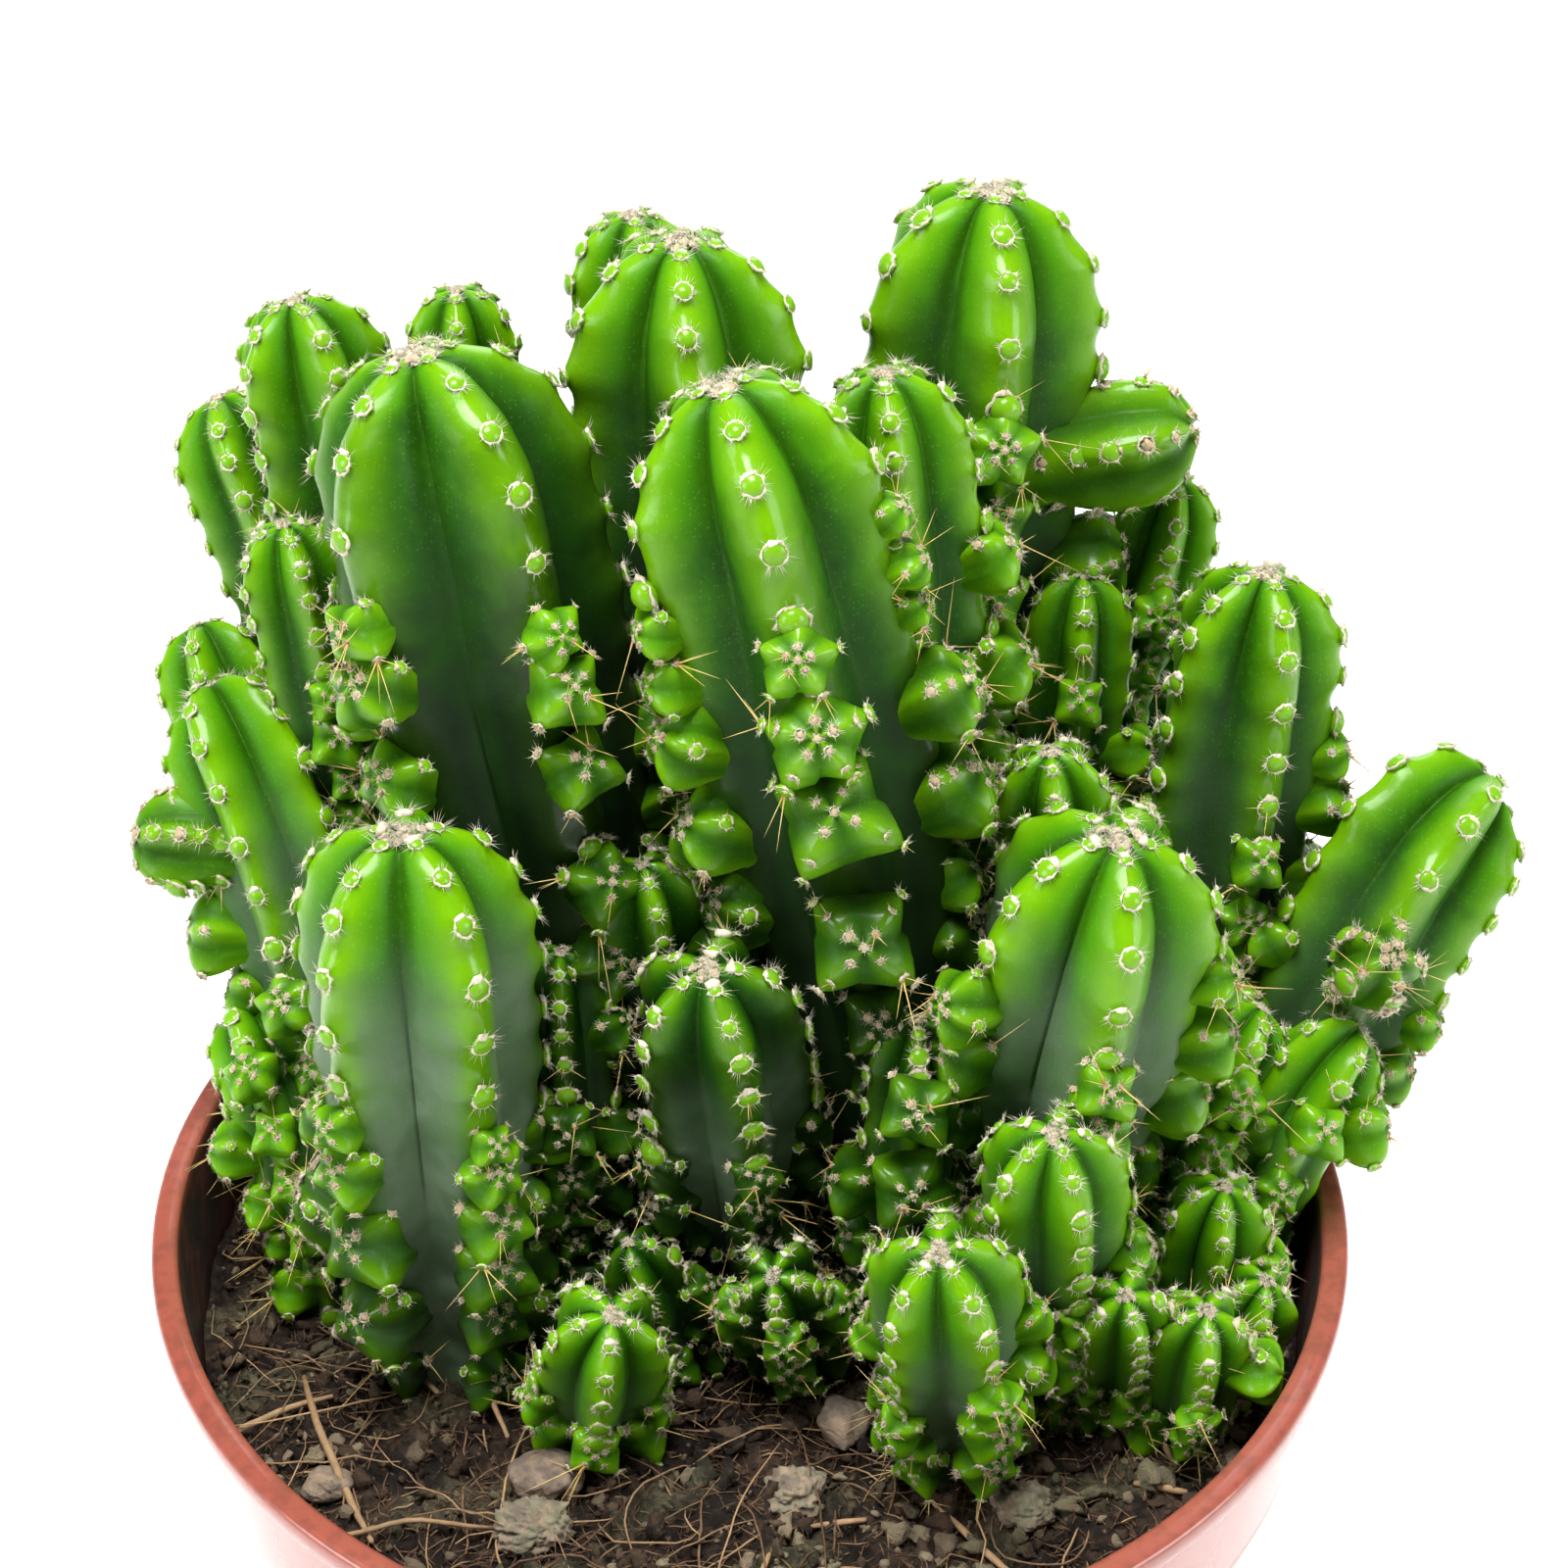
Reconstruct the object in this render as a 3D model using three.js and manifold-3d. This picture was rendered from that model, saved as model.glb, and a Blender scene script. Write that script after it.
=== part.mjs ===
// A clump of ribbed column cactus, rooted in soil in a round plastic nursery pot.
// Millimetres, +Z up. The origin is the middle of the pot's flat underside.
// Every stem rises from the soil on its own foot, with the small offsets that grow on its ribs.
import * as THREE from 'three';
import { mergeVertices } from 'three/addons/utils/BufferGeometryUtils.js';
import Module from 'manifold-3d';

const wasm = await Module();
wasm.setup();

// ---- Driving dimensions ----
const RIM_RADIUS = 60; // outer edge of the pot's lip
const POT_HEIGHT = 100;
const LIP_REACH = 1.4; // how far the lip stands out past the collar
const LIP_DEPTH = 2.6;
const COLLAR_DEPTH = 18; // the nearly upright band under the lip
const COLLAR_TAPER = 1.4; // how much the collar narrows over its depth
const STEP = 1; // how far the tapered body is set in under the collar
const FLOOR_RADIUS = 40;
const WALL = 1.3; // thickness of the moulded wall and floor
const POT_SIDES = 40;
const DRAIN_HOLES = 6;
const DRAIN_RADIUS = 3.5;
const DRAIN_CIRCLE = 30;
const SOIL_TOP = 87; // mean level of the soil
const GAP = 0.3; // clearance between pieces that touch
const SHEATH = 0.4; // how much a stem's cutter is larger than the stem, which leaves GAP on a slope
const RIBS = 5;
const GROOVE = 0.68; // groove radius as a share of the crest radius
const FOOT_SHARE = 0.56; // crest radius at the foot as a share of the full one
const FULL_SHARE = 0.6; // share of the way up at which the crest radius is full
const DOME_SHARE = 1.15; // height of the domed top as a share of the crest radius
const RISE = 0.7; // how far a leaning stem first rises, as a share of how far it leans
const ROOT_DEPTH = 4; // how far a stem's foot goes into the soil
const HOLE_DEPTH = 6; // depth of the hole in the soil that the foot stands in
const OFFSET_LIFT = 25; // degrees that an offset points up from square to its rib
const OFFSET_REACH = 2.3; // length of an offset in half widths, where the plan gives none
const OFFSET_NECK = 0.6; // radius of an offset where it leaves its rib, as a share of its half width
const OFFSET_BULGE = 0.72; // where along its length an offset is widest

// ---- Planting plan ----
// foot: [x, y] on the soil; tip: [x, y, z]; crest: radius over the ribs; turn: degrees of the
// front rib from straight ahead (-Y), anticlockwise from above.
// offsets: [rib, distance below the tip, half width, length if it isn't the usual one]; rib 0 is
// the front one and the numbers run anticlockwise.
const STEMS = [
  { name: 'stem_centre_tall', foot: [18, 1], tip: [-2, 14, 186], crest: 11.5, turn: 6, offsets: [
    [0, 25, 3.6], [0, 33, 4.8], [0, 43, 5.8], [0, 54, 5.4], [1, 17, 2.2], [1, 21.5, 2.4], [1, 26, 2],
    [1, 36, 4.5], [1, 47, 4.6], [4, 22, 2.6], [4, 28, 3], [4, 36, 4.2], [4, 46, 4.4], [4, 55, 4],
    [2, 38, 3], [3, 44, 3]] },
  { name: 'stem_left_tall', foot: [-15, 8], tip: [-30, 20, 186], crest: 13.5, turn: 34, offsets: [
    [0, 26, 3], [0, 33, 4], [0, 42, 4], [0, 53, 4], [4, 23, 3.2], [4, 31, 4.2], [4, 41, 3.8],
    [4, 51, 3.5], [1, 46, 3.5], [3, 40, 3]] },
  { name: 'stem_front_left', foot: [-30, -9], tip: [-31.5, -6, 151], crest: 11.3, turn: 35, offsets: [
    [0, 31, 2.2], [0, 36, 3.3], [0, 42, 3.8], [0, 49, 4.2], [0, 56, 3.6], [4, 28, 2.5], [4, 35, 3.5],
    [4, 46, 4.4], [4, 54, 4.6], [3, 38, 3], [3, 50, 4.4, 12], [1, 40, 3.5]] },
  { name: 'stem_right_front', foot: [27, 1], tip: [34, -5, 149], crest: 11.5, turn: 8, offsets: [
    [0, 24, 3.2], [0, 30, 4.2], [0, 37, 4.6], [4, 20, 3.8], [4, 28, 4], [1, 18, 3], [1, 26, 3.8],
    [1, 35, 4.2], [2, 28, 3.2]] },
  { name: 'stem_back_right', foot: [18, 39], tip: [24, 46, 189], crest: 11.7, turn: 8, offsets: [
    [1, 29, 6.8, 19], [1, 41, 5], [0, 24, 4], [0, 33, 4.2], [0, 42, 4.6], [0, 54, 5], [1, 52, 4.4],
    [2, 46, 4], [3, 52, 4], [2, 66, 4.2], [4, 48, 3.4]] },
  { name: 'stem_back_centre', foot: [-4, 27], tip: [-6, 36, 189], crest: 11.5, turn: 5, offsets: [
    [0, 52, 3.6], [2, 48, 4], [3, 58, 4], [1, 60, 3.4], [3, 74, 3.6]] },
  { name: 'stem_back_hidden', foot: [-8, 40], tip: [-11, 53, 183], crest: 7, turn: 10, offsets: [
    [2, 40, 3.4], [3, 52, 3.6], [2, 62, 4]] },
  { name: 'stem_right_of_centre', foot: [21, 18], tip: [13, 28, 179], crest: 8, turn: 5, offsets: [
    [0, 30, 3.2], [0, 38, 4.2], [1, 22, 3.6], [1, 34, 4.2], [4, 18, 2.2], [2, 40, 3]] },
  { name: 'stem_right', foot: [45, 19], tip: [51, 27, 157], crest: 8.5, turn: 12, offsets: [
    [0, 30, 3], [1, 21, 2.6], [1, 27, 3.4], [1, 36, 3.6], [2, 30, 3.4], [4, 30, 2.4]] },
  { name: 'stem_far_right', foot: [49, 6], tip: [75, 23, 134], crest: 9, turn: -10, offsets: [
    [0, 24, 4.6, 12], [4, 26, 2.8], [4, 33, 3.6], [2, 26, 3]] },
  { name: 'stem_left_back', foot: [-31, 30], tip: [-44, 43, 179], crest: 7.5, turn: 28, offsets: [
    [4, 34, 3], [3, 40, 3.4], [2, 48, 3.6]] },
  { name: 'stem_far_left_back', foot: [-34, 37], tip: [-54, 52, 163], crest: 6.5, turn: 0, offsets: [
    [2, 26, 3], [3, 32, 3]] },
  { name: 'stem_left_dark', foot: [-22, 33], tip: [-28, 43, 180], crest: 5.5, turn: 0, offsets: [
    [2, 36, 3], [3, 50, 3.4]] },
  { name: 'stem_left_mid', foot: [-36, 21], tip: [-45, 29, 162], crest: 5, turn: 20, offsets: [
    [0, 18, 2.4]] },
  { name: 'stem_left_upper', foot: [-45, 23], tip: [-57, 43, 141], crest: 5.5, turn: 0, offsets: [
    [3, 26, 2.6]] },
  { name: 'stem_left_leaning', foot: [-37, 5], tip: [-54, 30, 142], crest: 7.5, turn: -12, offsets: [
    [4, 17, 5, 12], [0, 34, 3.4]] },
  { name: 'stem_right_rear', foot: [33, 37], tip: [44, 45, 157], crest: 5.5, turn: 0, offsets: [
    [0, 14, 3], [1, 20, 3.4], [2, 30, 3.6]] },
  { name: 'stem_right_inner', foot: [31, 26], tip: [34, 36, 151], crest: 5.5, turn: 0, offsets: [
    [0, 14, 2.8], [1, 20, 3]] },
  { name: 'stem_right_inner_front', foot: [34, 12], tip: [29, 11, 147], crest: 5.5, turn: 0, offsets: [
    [1, 14, 2.6]] },
  { name: 'stem_centre_small', foot: [0, 0], tip: [-4, -9, 137], crest: 8, turn: 18, offsets: [
    [0, 24, 2.6]] },
  { name: 'stem_front_short', foot: [20, -23], tip: [17, -30, 121], crest: 7.2, turn: 30, offsets: [
    [0, 17, 2.6], [0, 23, 3.4], [4, 22, 2.6], [1, 16, 2.4], [3, 20, 2.8]] },
  { name: 'stem_front_right_low', foot: [29, -14], tip: [28, -20, 126], crest: 7, turn: 20, offsets: [
    [0, 22, 2.4], [4, 16, 2.2], [1, 20, 3]] },
  { name: 'stem_front_left_short', foot: [-16, -19], tip: [-13, -25, 108], crest: 6.2, turn: 0, offsets: [
    [4, 15, 2.4], [1, 15, 2]] },
  { name: 'shoot_front_star', foot: [5, -10], tip: [2, -20, 108], crest: 4.5, turn: 0, offsets: [
    [4, 9, 2.6], [1, 10, 2.6], [0, 8, 2.4]] },
  { name: 'shoot_centre_left', foot: [-17, -4], tip: [-18, 1, 131], crest: 4.5, turn: 0, offsets: [
    [1, 10, 2.6], [0, 18, 3], [1, 22, 3]] },
  { name: 'shoot_centre_star', foot: [-6, 5], tip: [-10, 3, 140], crest: 5, turn: 15, offsets: [
    [1, 12, 2.8], [2, 10, 3]] },
  { name: 'shoot_centre_chain', foot: [14, -10], tip: [16, -6, 128], crest: 4.5, turn: 0, offsets: [
    [0, 8, 3.8], [0, 17, 4.4], [0, 26, 3.2], [4, 20, 3.2]] },
  { name: 'shoot_centre_low', foot: [-6, -10], tip: [-12, -12, 105], crest: 4, turn: 0, offsets: [
    [1, 9, 2.4]] },
  { name: 'shoot_left_low', foot: [-42, -3], tip: [-52, 15, 112], crest: 5, turn: 0, offsets: [
    [0, 9, 3], [4, 16, 3]] },
  { name: 'shoot_right_mid', foot: [39, -2], tip: [51, 6, 119], crest: 5, turn: 0, offsets: [
    [0, 9, 3], [1, 14, 3]] },
  { name: 'shoot_right_edge', foot: [46, -2], tip: [61, 5, 117], crest: 5.5, turn: 0, offsets: [
    [0, 12, 3.2], [1, 12, 3.6]] },
  { name: 'shoot_right_front_low', foot: [44, -9], tip: [46, -10, 110], crest: 5, turn: 0, offsets: [
    [1, 11, 2.8]] },
  { name: 'shoot_front_right_star', foot: [36, -17], tip: [35, -25, 110], crest: 4.4, turn: 15, offsets: [
    [1, 9, 2.6]] },
  { name: 'shoot_front_right', foot: [42, -20], tip: [43, -24, 107], crest: 5, turn: 0, offsets: [
    [1, 9, 3], [0, 12, 2.4]] },
  { name: 'shoot_right_outer', foot: [46, -14], tip: [50, -16, 103], crest: 4.4, turn: 0, offsets: [
    [0, 8, 2.2]] },
  { name: 'shoot_back_left', foot: [-24, 42], tip: [-33, 55, 133], crest: 5.5, turn: 0, offsets: [
    [2, 14, 3], [3, 18, 3.2]] },
  { name: 'shoot_back_centre', foot: [2, 48], tip: [1, 60, 138], crest: 6, turn: 0, offsets: [
    [2, 14, 3], [3, 20, 3.4]] },
  { name: 'shoot_back_right', foot: [27, 40], tip: [37, 56, 130], crest: 5.5, turn: 0, offsets: [
    [2, 12, 3], [3, 18, 3.2]] },
  { name: 'shoot_back_low', foot: [-10, 48], tip: [-13, 57, 114], crest: 4.6, turn: 0, offsets: [
    [2, 9, 2.6]] },
];

// Pebbles and clods on the soil: [x, y, half length, half width, half height, turn in degrees].
const PEBBLES = {
  pebble_front_centre: [9, -20, 3.4, 2.6, 2.2, 70],
  pebble_front_left: [-20, -26, 3.8, 2.8, 2.2, -10],
  clod_front_left: [-21, -33, 4.4, 3.4, 2.6, 20],
  clod_front: [4, -29, 3.6, 3, 2.2, 40],
  clod_front_right: [26, -31, 3.8, 3, 2.2, -30],
  pebble_left: [-41, -27, 2.6, 2, 1.6, 0],
  pebble_right: [47, -26, 2.4, 2, 1.6, 30],
  clod_back: [14, 51, 3, 2.4, 2, 15],
};

// ---- Solids ----
const toRadians = THREE.MathUtils.degToRad;

function solidOf(geometry) {
  const bare = geometry.index ? geometry.clone() : geometry;
  bare.deleteAttribute('normal');
  bare.deleteAttribute('uv');
  const merged = mergeVertices(bare, 1e-4);
  return new wasm.Manifold(new wasm.Mesh({
    numProp: 3,
    vertProperties: new Float32Array(merged.attributes.position.array),
    triVerts: new Uint32Array(merged.index.array),
  }));
}

function geometryOf(solid) {
  const mesh = solid.getMesh();
  const geometry = new THREE.BufferGeometry();
  geometry.setAttribute('position', new THREE.BufferAttribute(new Float32Array(mesh.vertProperties), 3));
  geometry.setIndex(new THREE.BufferAttribute(new Uint32Array(mesh.triVerts), 1));
  geometry.computeVertexNormals();
  return geometry;
}

// A closed skin over rings of equal length, with one point closing each end.
function skin(rings, start, end) {
  const count = rings[0].length;
  const points = [start, ...rings.flat(), end];
  const last = points.length - 1;
  const index = [];
  const at = (ring, i) => 1 + ring * count + (i % count);
  for (let i = 0; i < count; i += 1) {
    index.push(0, at(0, i + 1), at(0, i));
    for (let ring = 0; ring < rings.length - 1; ring += 1) {
      index.push(at(ring, i), at(ring, i + 1), at(ring + 1, i + 1));
      index.push(at(ring, i), at(ring + 1, i + 1), at(ring + 1, i));
    }
    index.push(at(rings.length - 1, i), at(rings.length - 1, i + 1), last);
  }
  const geometry = new THREE.BufferGeometry().setFromPoints(points);
  geometry.setIndex(index);
  return geometry;
}

// The turn that takes straight up to a direction by the shortest way.
function uprightTurn(direction) {
  return new THREE.Quaternion().setFromUnitVectors(new THREE.Vector3(0, 0, 1), direction);
}

function ribAngle(stem, rib) {
  return toRadians(-90 + stem.turn + (360 / RIBS) * rib);
}

// ---- Stems ----
function stemAxis(stem) {
  const foot = new THREE.Vector3(stem.foot[0], stem.foot[1], SOIL_TOP - ROOT_DEPTH);
  const tip = new THREE.Vector3(...stem.tip);
  const middle = foot.clone().lerp(tip, 0.5);
  middle.z += RISE * Math.hypot(tip.x - foot.x, tip.y - foot.y);
  return new THREE.QuadraticBezierCurve3(foot, middle, tip);
}

// Crest radius at a share of the way up: slender at the foot, full above, domed at the tip.
function crestRadius(stem, share, length) {
  const body = stem.crest * THREE.MathUtils.lerp(FOOT_SHARE, 1, Math.min(1, share / FULL_SHARE));
  const dome = DOME_SHARE * stem.crest;
  const intoDome = Math.max(0, dome - (1 - share) * length) / dome;
  return body * Math.sqrt(Math.max(0, 1 - intoDome * intoDome));
}

function stemColumn(stem, grow) {
  const axis = stemAxis(stem);
  const length = axis.getLength();
  const domeShare = (DOME_SHARE * stem.crest) / length;
  const shares = [0, FULL_SHARE * (1 - domeShare), 1 - domeShare, 1 - 0.55 * domeShare, 1 - 0.2 * domeShare];
  const rings = shares.map((share) => {
    const centre = axis.getPointAt(share);
    const turn = uprightTurn(axis.getTangentAt(share));
    const radius = crestRadius(stem, share, length);
    return Array.from({ length: RIBS * 2 }, (_, i) => {
      const reach = (i % 2 ? GROOVE : 1) * radius + grow;
      const angle = ribAngle(stem, i / 2);
      const point = new THREE.Vector3(Math.cos(angle) * reach, Math.sin(angle) * reach, 0);
      return point.applyQuaternion(turn).add(centre);
    });
  });
  const footPoint = axis.getPointAt(0).addScaledVector(axis.getTangentAt(0), -grow);
  const tipPoint = axis.getPointAt(1).addScaledVector(axis.getTangentAt(1), grow);
  return solidOf(skin(rings, footPoint, tipPoint));
}

// A small blocky offset on a rib, with five corners.
function offsetBlock(stem, [rib, drop, half, reach = OFFSET_REACH * half], grow) {
  const axis = stemAxis(stem);
  const length = axis.getLength();
  const share = 1 - drop / length;
  const up = axis.getTangentAt(share);
  const angle = ribAngle(stem, rib);
  const out = new THREE.Vector3(Math.cos(angle), Math.sin(angle), 0).applyQuaternion(uprightTurn(up));
  const lift = toRadians(OFFSET_LIFT);
  const way = out.clone().multiplyScalar(Math.cos(lift)).addScaledVector(up, Math.sin(lift));
  const root = axis.getPointAt(share).addScaledVector(out, crestRadius(stem, share, length) - half);
  const turn = uprightTurn(way);
  const corners = (along, radius) => Array.from({ length: RIBS }, (_, i) => {
    const corner = toRadians((360 / RIBS) * i);
    const point = new THREE.Vector3(Math.cos(corner) * radius, Math.sin(corner) * radius, along);
    return point.applyQuaternion(turn).add(root);
  });
  const rings = [
    corners(-grow, OFFSET_NECK * half + grow), corners(OFFSET_BULGE * reach + grow, half + grow),
  ];
  const start = root.clone().addScaledVector(way, -grow);
  return solidOf(skin(rings, start, root.clone().addScaledVector(way, reach + grow)));
}

function grownStem(stem, grow = 0) {
  return stem.offsets.reduce((whole, offset) => whole.add(offsetBlock(stem, offset, grow)),
    stemColumn(stem, grow));
}

// The largest of the separate solids in a cut one.
function mainBody(solid) {
  return solid.decompose().sort((a, b) => b.volume() - a.volume())[0];
}

// ---- Pot ----
const collarFoot = POT_HEIGHT - COLLAR_DEPTH;
const collarTopRadius = RIM_RADIUS - LIP_REACH;
const bodyTopRadius = collarTopRadius - COLLAR_TAPER - STEP;
const bodyTop = collarFoot - STEP;

function outerRadius(z) {
  if (z >= collarFoot) return collarTopRadius - (COLLAR_TAPER * (POT_HEIGHT - z)) / COLLAR_DEPTH;
  return THREE.MathUtils.lerp(FLOOR_RADIUS, bodyTopRadius, Math.min(1, z / bodyTop));
}

const innerRadius = (z) => outerRadius(z) - WALL;

function lathe(outline) {
  const profile = outline.map(([radius, height]) => new THREE.Vector2(radius, height));
  return solidOf(new THREE.LatheGeometry(profile, POT_SIDES).rotateX(Math.PI / 2));
}

function pot() {
  const underLip = POT_HEIGHT - LIP_DEPTH;
  const shell = lathe([
    [0, 0], [FLOOR_RADIUS - LIP_REACH, 0], [outerRadius(LIP_REACH), LIP_REACH],
    [bodyTopRadius, bodyTop], [outerRadius(collarFoot), collarFoot],
    [outerRadius(underLip), underLip], [RIM_RADIUS, underLip + 0.5], [RIM_RADIUS, POT_HEIGHT - 0.9],
    [RIM_RADIUS - 0.8, POT_HEIGHT], [innerRadius(POT_HEIGHT), POT_HEIGHT],
    [innerRadius(collarFoot), collarFoot], [bodyTopRadius - WALL, bodyTop - STEP],
    [innerRadius(WALL), WALL], [0, WALL],
  ]);
  const holes = Array.from({ length: DRAIN_HOLES }, (_, i) => {
    const angle = ((i + 0.5) / DRAIN_HOLES) * 2 * Math.PI;
    const drill = new THREE.CylinderGeometry(DRAIN_RADIUS, DRAIN_RADIUS, 4 * WALL, 12).rotateX(Math.PI / 2);
    return solidOf(drill.translate(Math.cos(angle) * DRAIN_CIRCLE, Math.sin(angle) * DRAIN_CIRCLE, 0));
  });
  return holes.reduce((body, hole) => body.subtract(hole), shell);
}

// The wall with GAP all round it, above the soil: what leaning stems have to clear.
function wallSheath() {
  const low = SOIL_TOP - ROOT_DEPTH;
  return lathe([
    [innerRadius(low) - GAP, low], [RIM_RADIUS + GAP, low], [RIM_RADIUS + GAP, POT_HEIGHT + GAP],
    [innerRadius(POT_HEIGHT) - GAP, POT_HEIGHT + GAP], [innerRadius(low) - GAP, low],
  ]);
}

// ---- Soil and pebbles ----
function soil() {
  const floor = WALL + GAP;
  return lathe([
    [0, floor], [innerRadius(floor) - 2 * GAP, floor],
    [bodyTopRadius - WALL - 2 * GAP, bodyTop - 2 * STEP],
    [innerRadius(collarFoot) - 2 * GAP, collarFoot + STEP],
    [innerRadius(SOIL_TOP) - 2 * GAP, SOIL_TOP], [0, SOIL_TOP],
  ]);
}

// The hole that a stem's foot fills in the soil: eight-sided, and clear of the ribs at its mouth.
function footHole(stem) {
  const axis = stemAxis(stem);
  const length = axis.getLength();
  const mouth = ROOT_DEPTH / length;
  const lean = axis.getPointAt(mouth).sub(axis.getPointAt(0)).setZ(0).length();
  const radius = (crestRadius(stem, mouth, length) + lean + 2 * GAP) / Math.cos(Math.PI / 8);
  const centre = axis.getPointAt(0.5 * mouth);
  const plug = new THREE.CylinderGeometry(radius, radius, 3 * HOLE_DEPTH, 8).rotateX(Math.PI / 2);
  return solidOf(plug.translate(centre.x, centre.y, SOIL_TOP + HOLE_DEPTH / 2));
}

function pebble([x, y, a, b, c, turn], grow = 0) {
  const stone = new THREE.IcosahedronGeometry(1, 1);
  stone.scale(a + grow, b + grow, c + grow).rotateZ(toRadians(turn));
  return solidOf(stone.translate(x, y, SOIL_TOP + 0.35 * c));
}

// ---- Assembly ----
const FINISHES = {
  stem: { color: 0x3f8f1f, roughness: 0.5, metalness: 0 },
  pot: { color: 0xb4705f, roughness: 0.35, metalness: 0 },
  soil: { color: 0x3a2a20, roughness: 0.95, metalness: 0 },
  stone: { color: 0x8f8172, roughness: 0.9, metalness: 0 },
};

const plant = new THREE.Group();

function addPiece(name, solid, finish) {
  const mesh = new THREE.Mesh(geometryOf(solid), new THREE.MeshStandardMaterial(FINISHES[finish]));
  mesh.name = name;
  plant.add(mesh);
}

addPiece('pot', pot(), 'pot');

let taken = wallSheath();
for (const stem of STEMS) {
  addPiece(stem.name, mainBody(grownStem(stem).subtract(taken)), 'stem');
  taken = taken.add(grownStem(stem, SHEATH));
}

let bed = STEMS.reduce((body, stem) => body.subtract(footHole(stem)), soil());
for (const [name, sizes] of Object.entries(PEBBLES)) {
  addPiece(name, mainBody(pebble(sizes).subtract(taken)), 'stone');
  bed = mainBody(bed.subtract(pebble(sizes, SHEATH)));
}
addPiece('soil', bed, 'soil');

export default plant;
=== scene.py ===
import sys
import logging
import math
from dataclasses import dataclass, field
from enum import Enum
from typing import Callable, Iterable, NamedTuple

import bmesh
import bpy
import numpy as np
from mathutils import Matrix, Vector


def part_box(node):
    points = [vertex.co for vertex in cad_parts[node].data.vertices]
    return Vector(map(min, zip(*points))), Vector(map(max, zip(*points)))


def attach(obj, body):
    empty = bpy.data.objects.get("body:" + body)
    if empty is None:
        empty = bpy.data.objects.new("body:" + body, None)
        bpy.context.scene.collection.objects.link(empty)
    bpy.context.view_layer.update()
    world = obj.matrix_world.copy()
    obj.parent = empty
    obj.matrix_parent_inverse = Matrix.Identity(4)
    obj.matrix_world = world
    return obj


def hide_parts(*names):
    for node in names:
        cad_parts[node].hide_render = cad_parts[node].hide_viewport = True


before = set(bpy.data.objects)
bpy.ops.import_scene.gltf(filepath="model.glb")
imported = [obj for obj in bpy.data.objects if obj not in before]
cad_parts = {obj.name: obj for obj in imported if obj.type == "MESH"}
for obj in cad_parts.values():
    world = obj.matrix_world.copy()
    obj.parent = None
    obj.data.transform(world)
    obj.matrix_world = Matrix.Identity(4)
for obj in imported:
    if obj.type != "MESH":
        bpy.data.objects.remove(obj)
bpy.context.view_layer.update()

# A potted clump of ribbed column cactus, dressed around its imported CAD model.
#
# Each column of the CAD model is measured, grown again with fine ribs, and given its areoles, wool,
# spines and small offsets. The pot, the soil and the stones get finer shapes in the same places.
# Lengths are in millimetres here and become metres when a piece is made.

LOG = logging.getLogger("cactus")
METRES = 0.001
BODY = "root"
RIBS = 5
TURN = 2 * math.pi
Array = np.ndarray
Colour = tuple[float, float, float, float]


class Slot(Enum):
    """The record's material slots."""

    SKIN = "stem_skin"
    POT = "pot_plastic"
    SOIL = "soil"
    STONE = "stone"
    WOOL = "wool"
    SPINE = "spine"
    FIBRE = "fibre"


class Side(Enum):
    """The part of the clump that a stem stands in."""

    FRONT = "front"
    LEFT = "left"
    RIGHT = "right"
    CENTRE = "centre"
    BACK = "back"


# ---- Small maths ----


def ease(value: Array | float) -> Array:
    """A soft step from 0 to 1."""
    t = np.clip(value, 0.0, 1.0)
    return t * t * (3.0 - 2.0 * t)


def lerp(low: Array | float, high: Array | float, share: Array | float) -> Array:
    """The value a share of the way from low to high."""
    return low + (high - low) * share


def unit(vectors: Array) -> Array:
    """The same directions, one unit long."""
    return vectors / np.maximum(np.linalg.norm(vectors, axis=-1, keepdims=True), 1e-9)


def upright_turns(directions: Array) -> Array:
    """Rotations that take straight up to each direction by the shortest way.

    Args:
        directions: unit vectors, (n, 3).

    Returns:
        Rotation matrices, (n, 3, 3).
    """
    x, y, z = directions[:, 0], directions[:, 1], directions[:, 2]
    k = 1.0 / (1.0 + z)
    rows = [[1 - x * x * k, -x * y * k, x], [-x * y * k, 1 - y * y * k, y], [-x, -y, z]]
    return np.moveaxis(np.array([[np.broadcast_to(c, x.shape) for c in row] for row in rows]), 2, 0)


def facing(normals: Array, ups: Array) -> Array:
    """Frames that face a way and stand upright.

    Args:
        normals: the third column of each frame, (n, 3).
        ups: the direction that the second column leans to, (n, 3).

    Returns:
        Rotation matrices, (n, 3, 3).
    """
    side = unit(np.cross(ups, normals))
    return np.stack([side, np.cross(normals, side), normals], axis=-1)


@dataclass
class Ripple:
    """A smooth, repeatable unevenness made of crossing waves."""

    seed: int
    wavelength: float
    waves: int = 10

    def at(self, points: Array) -> Array:
        """The unevenness, about -1 to 1, at each point.

        Args:
            points: places in millimetres, (..., 3).

        Returns:
            One number for each point.
        """
        rng = np.random.default_rng(self.seed)
        ways = unit(rng.normal(size=(self.waves, 3)))
        ways *= TURN / self.wavelength * rng.uniform(0.7, 1.5, (self.waves, 1))
        phase = rng.uniform(0, TURN, self.waves)
        return np.sin(points @ ways.T + phase).sum(-1) / math.sqrt(self.waves)


# ---- Meshes ----


class Template(NamedTuple):
    """A small shape that is set down many times."""

    points: Array
    quads: Array
    tris: Array


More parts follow.
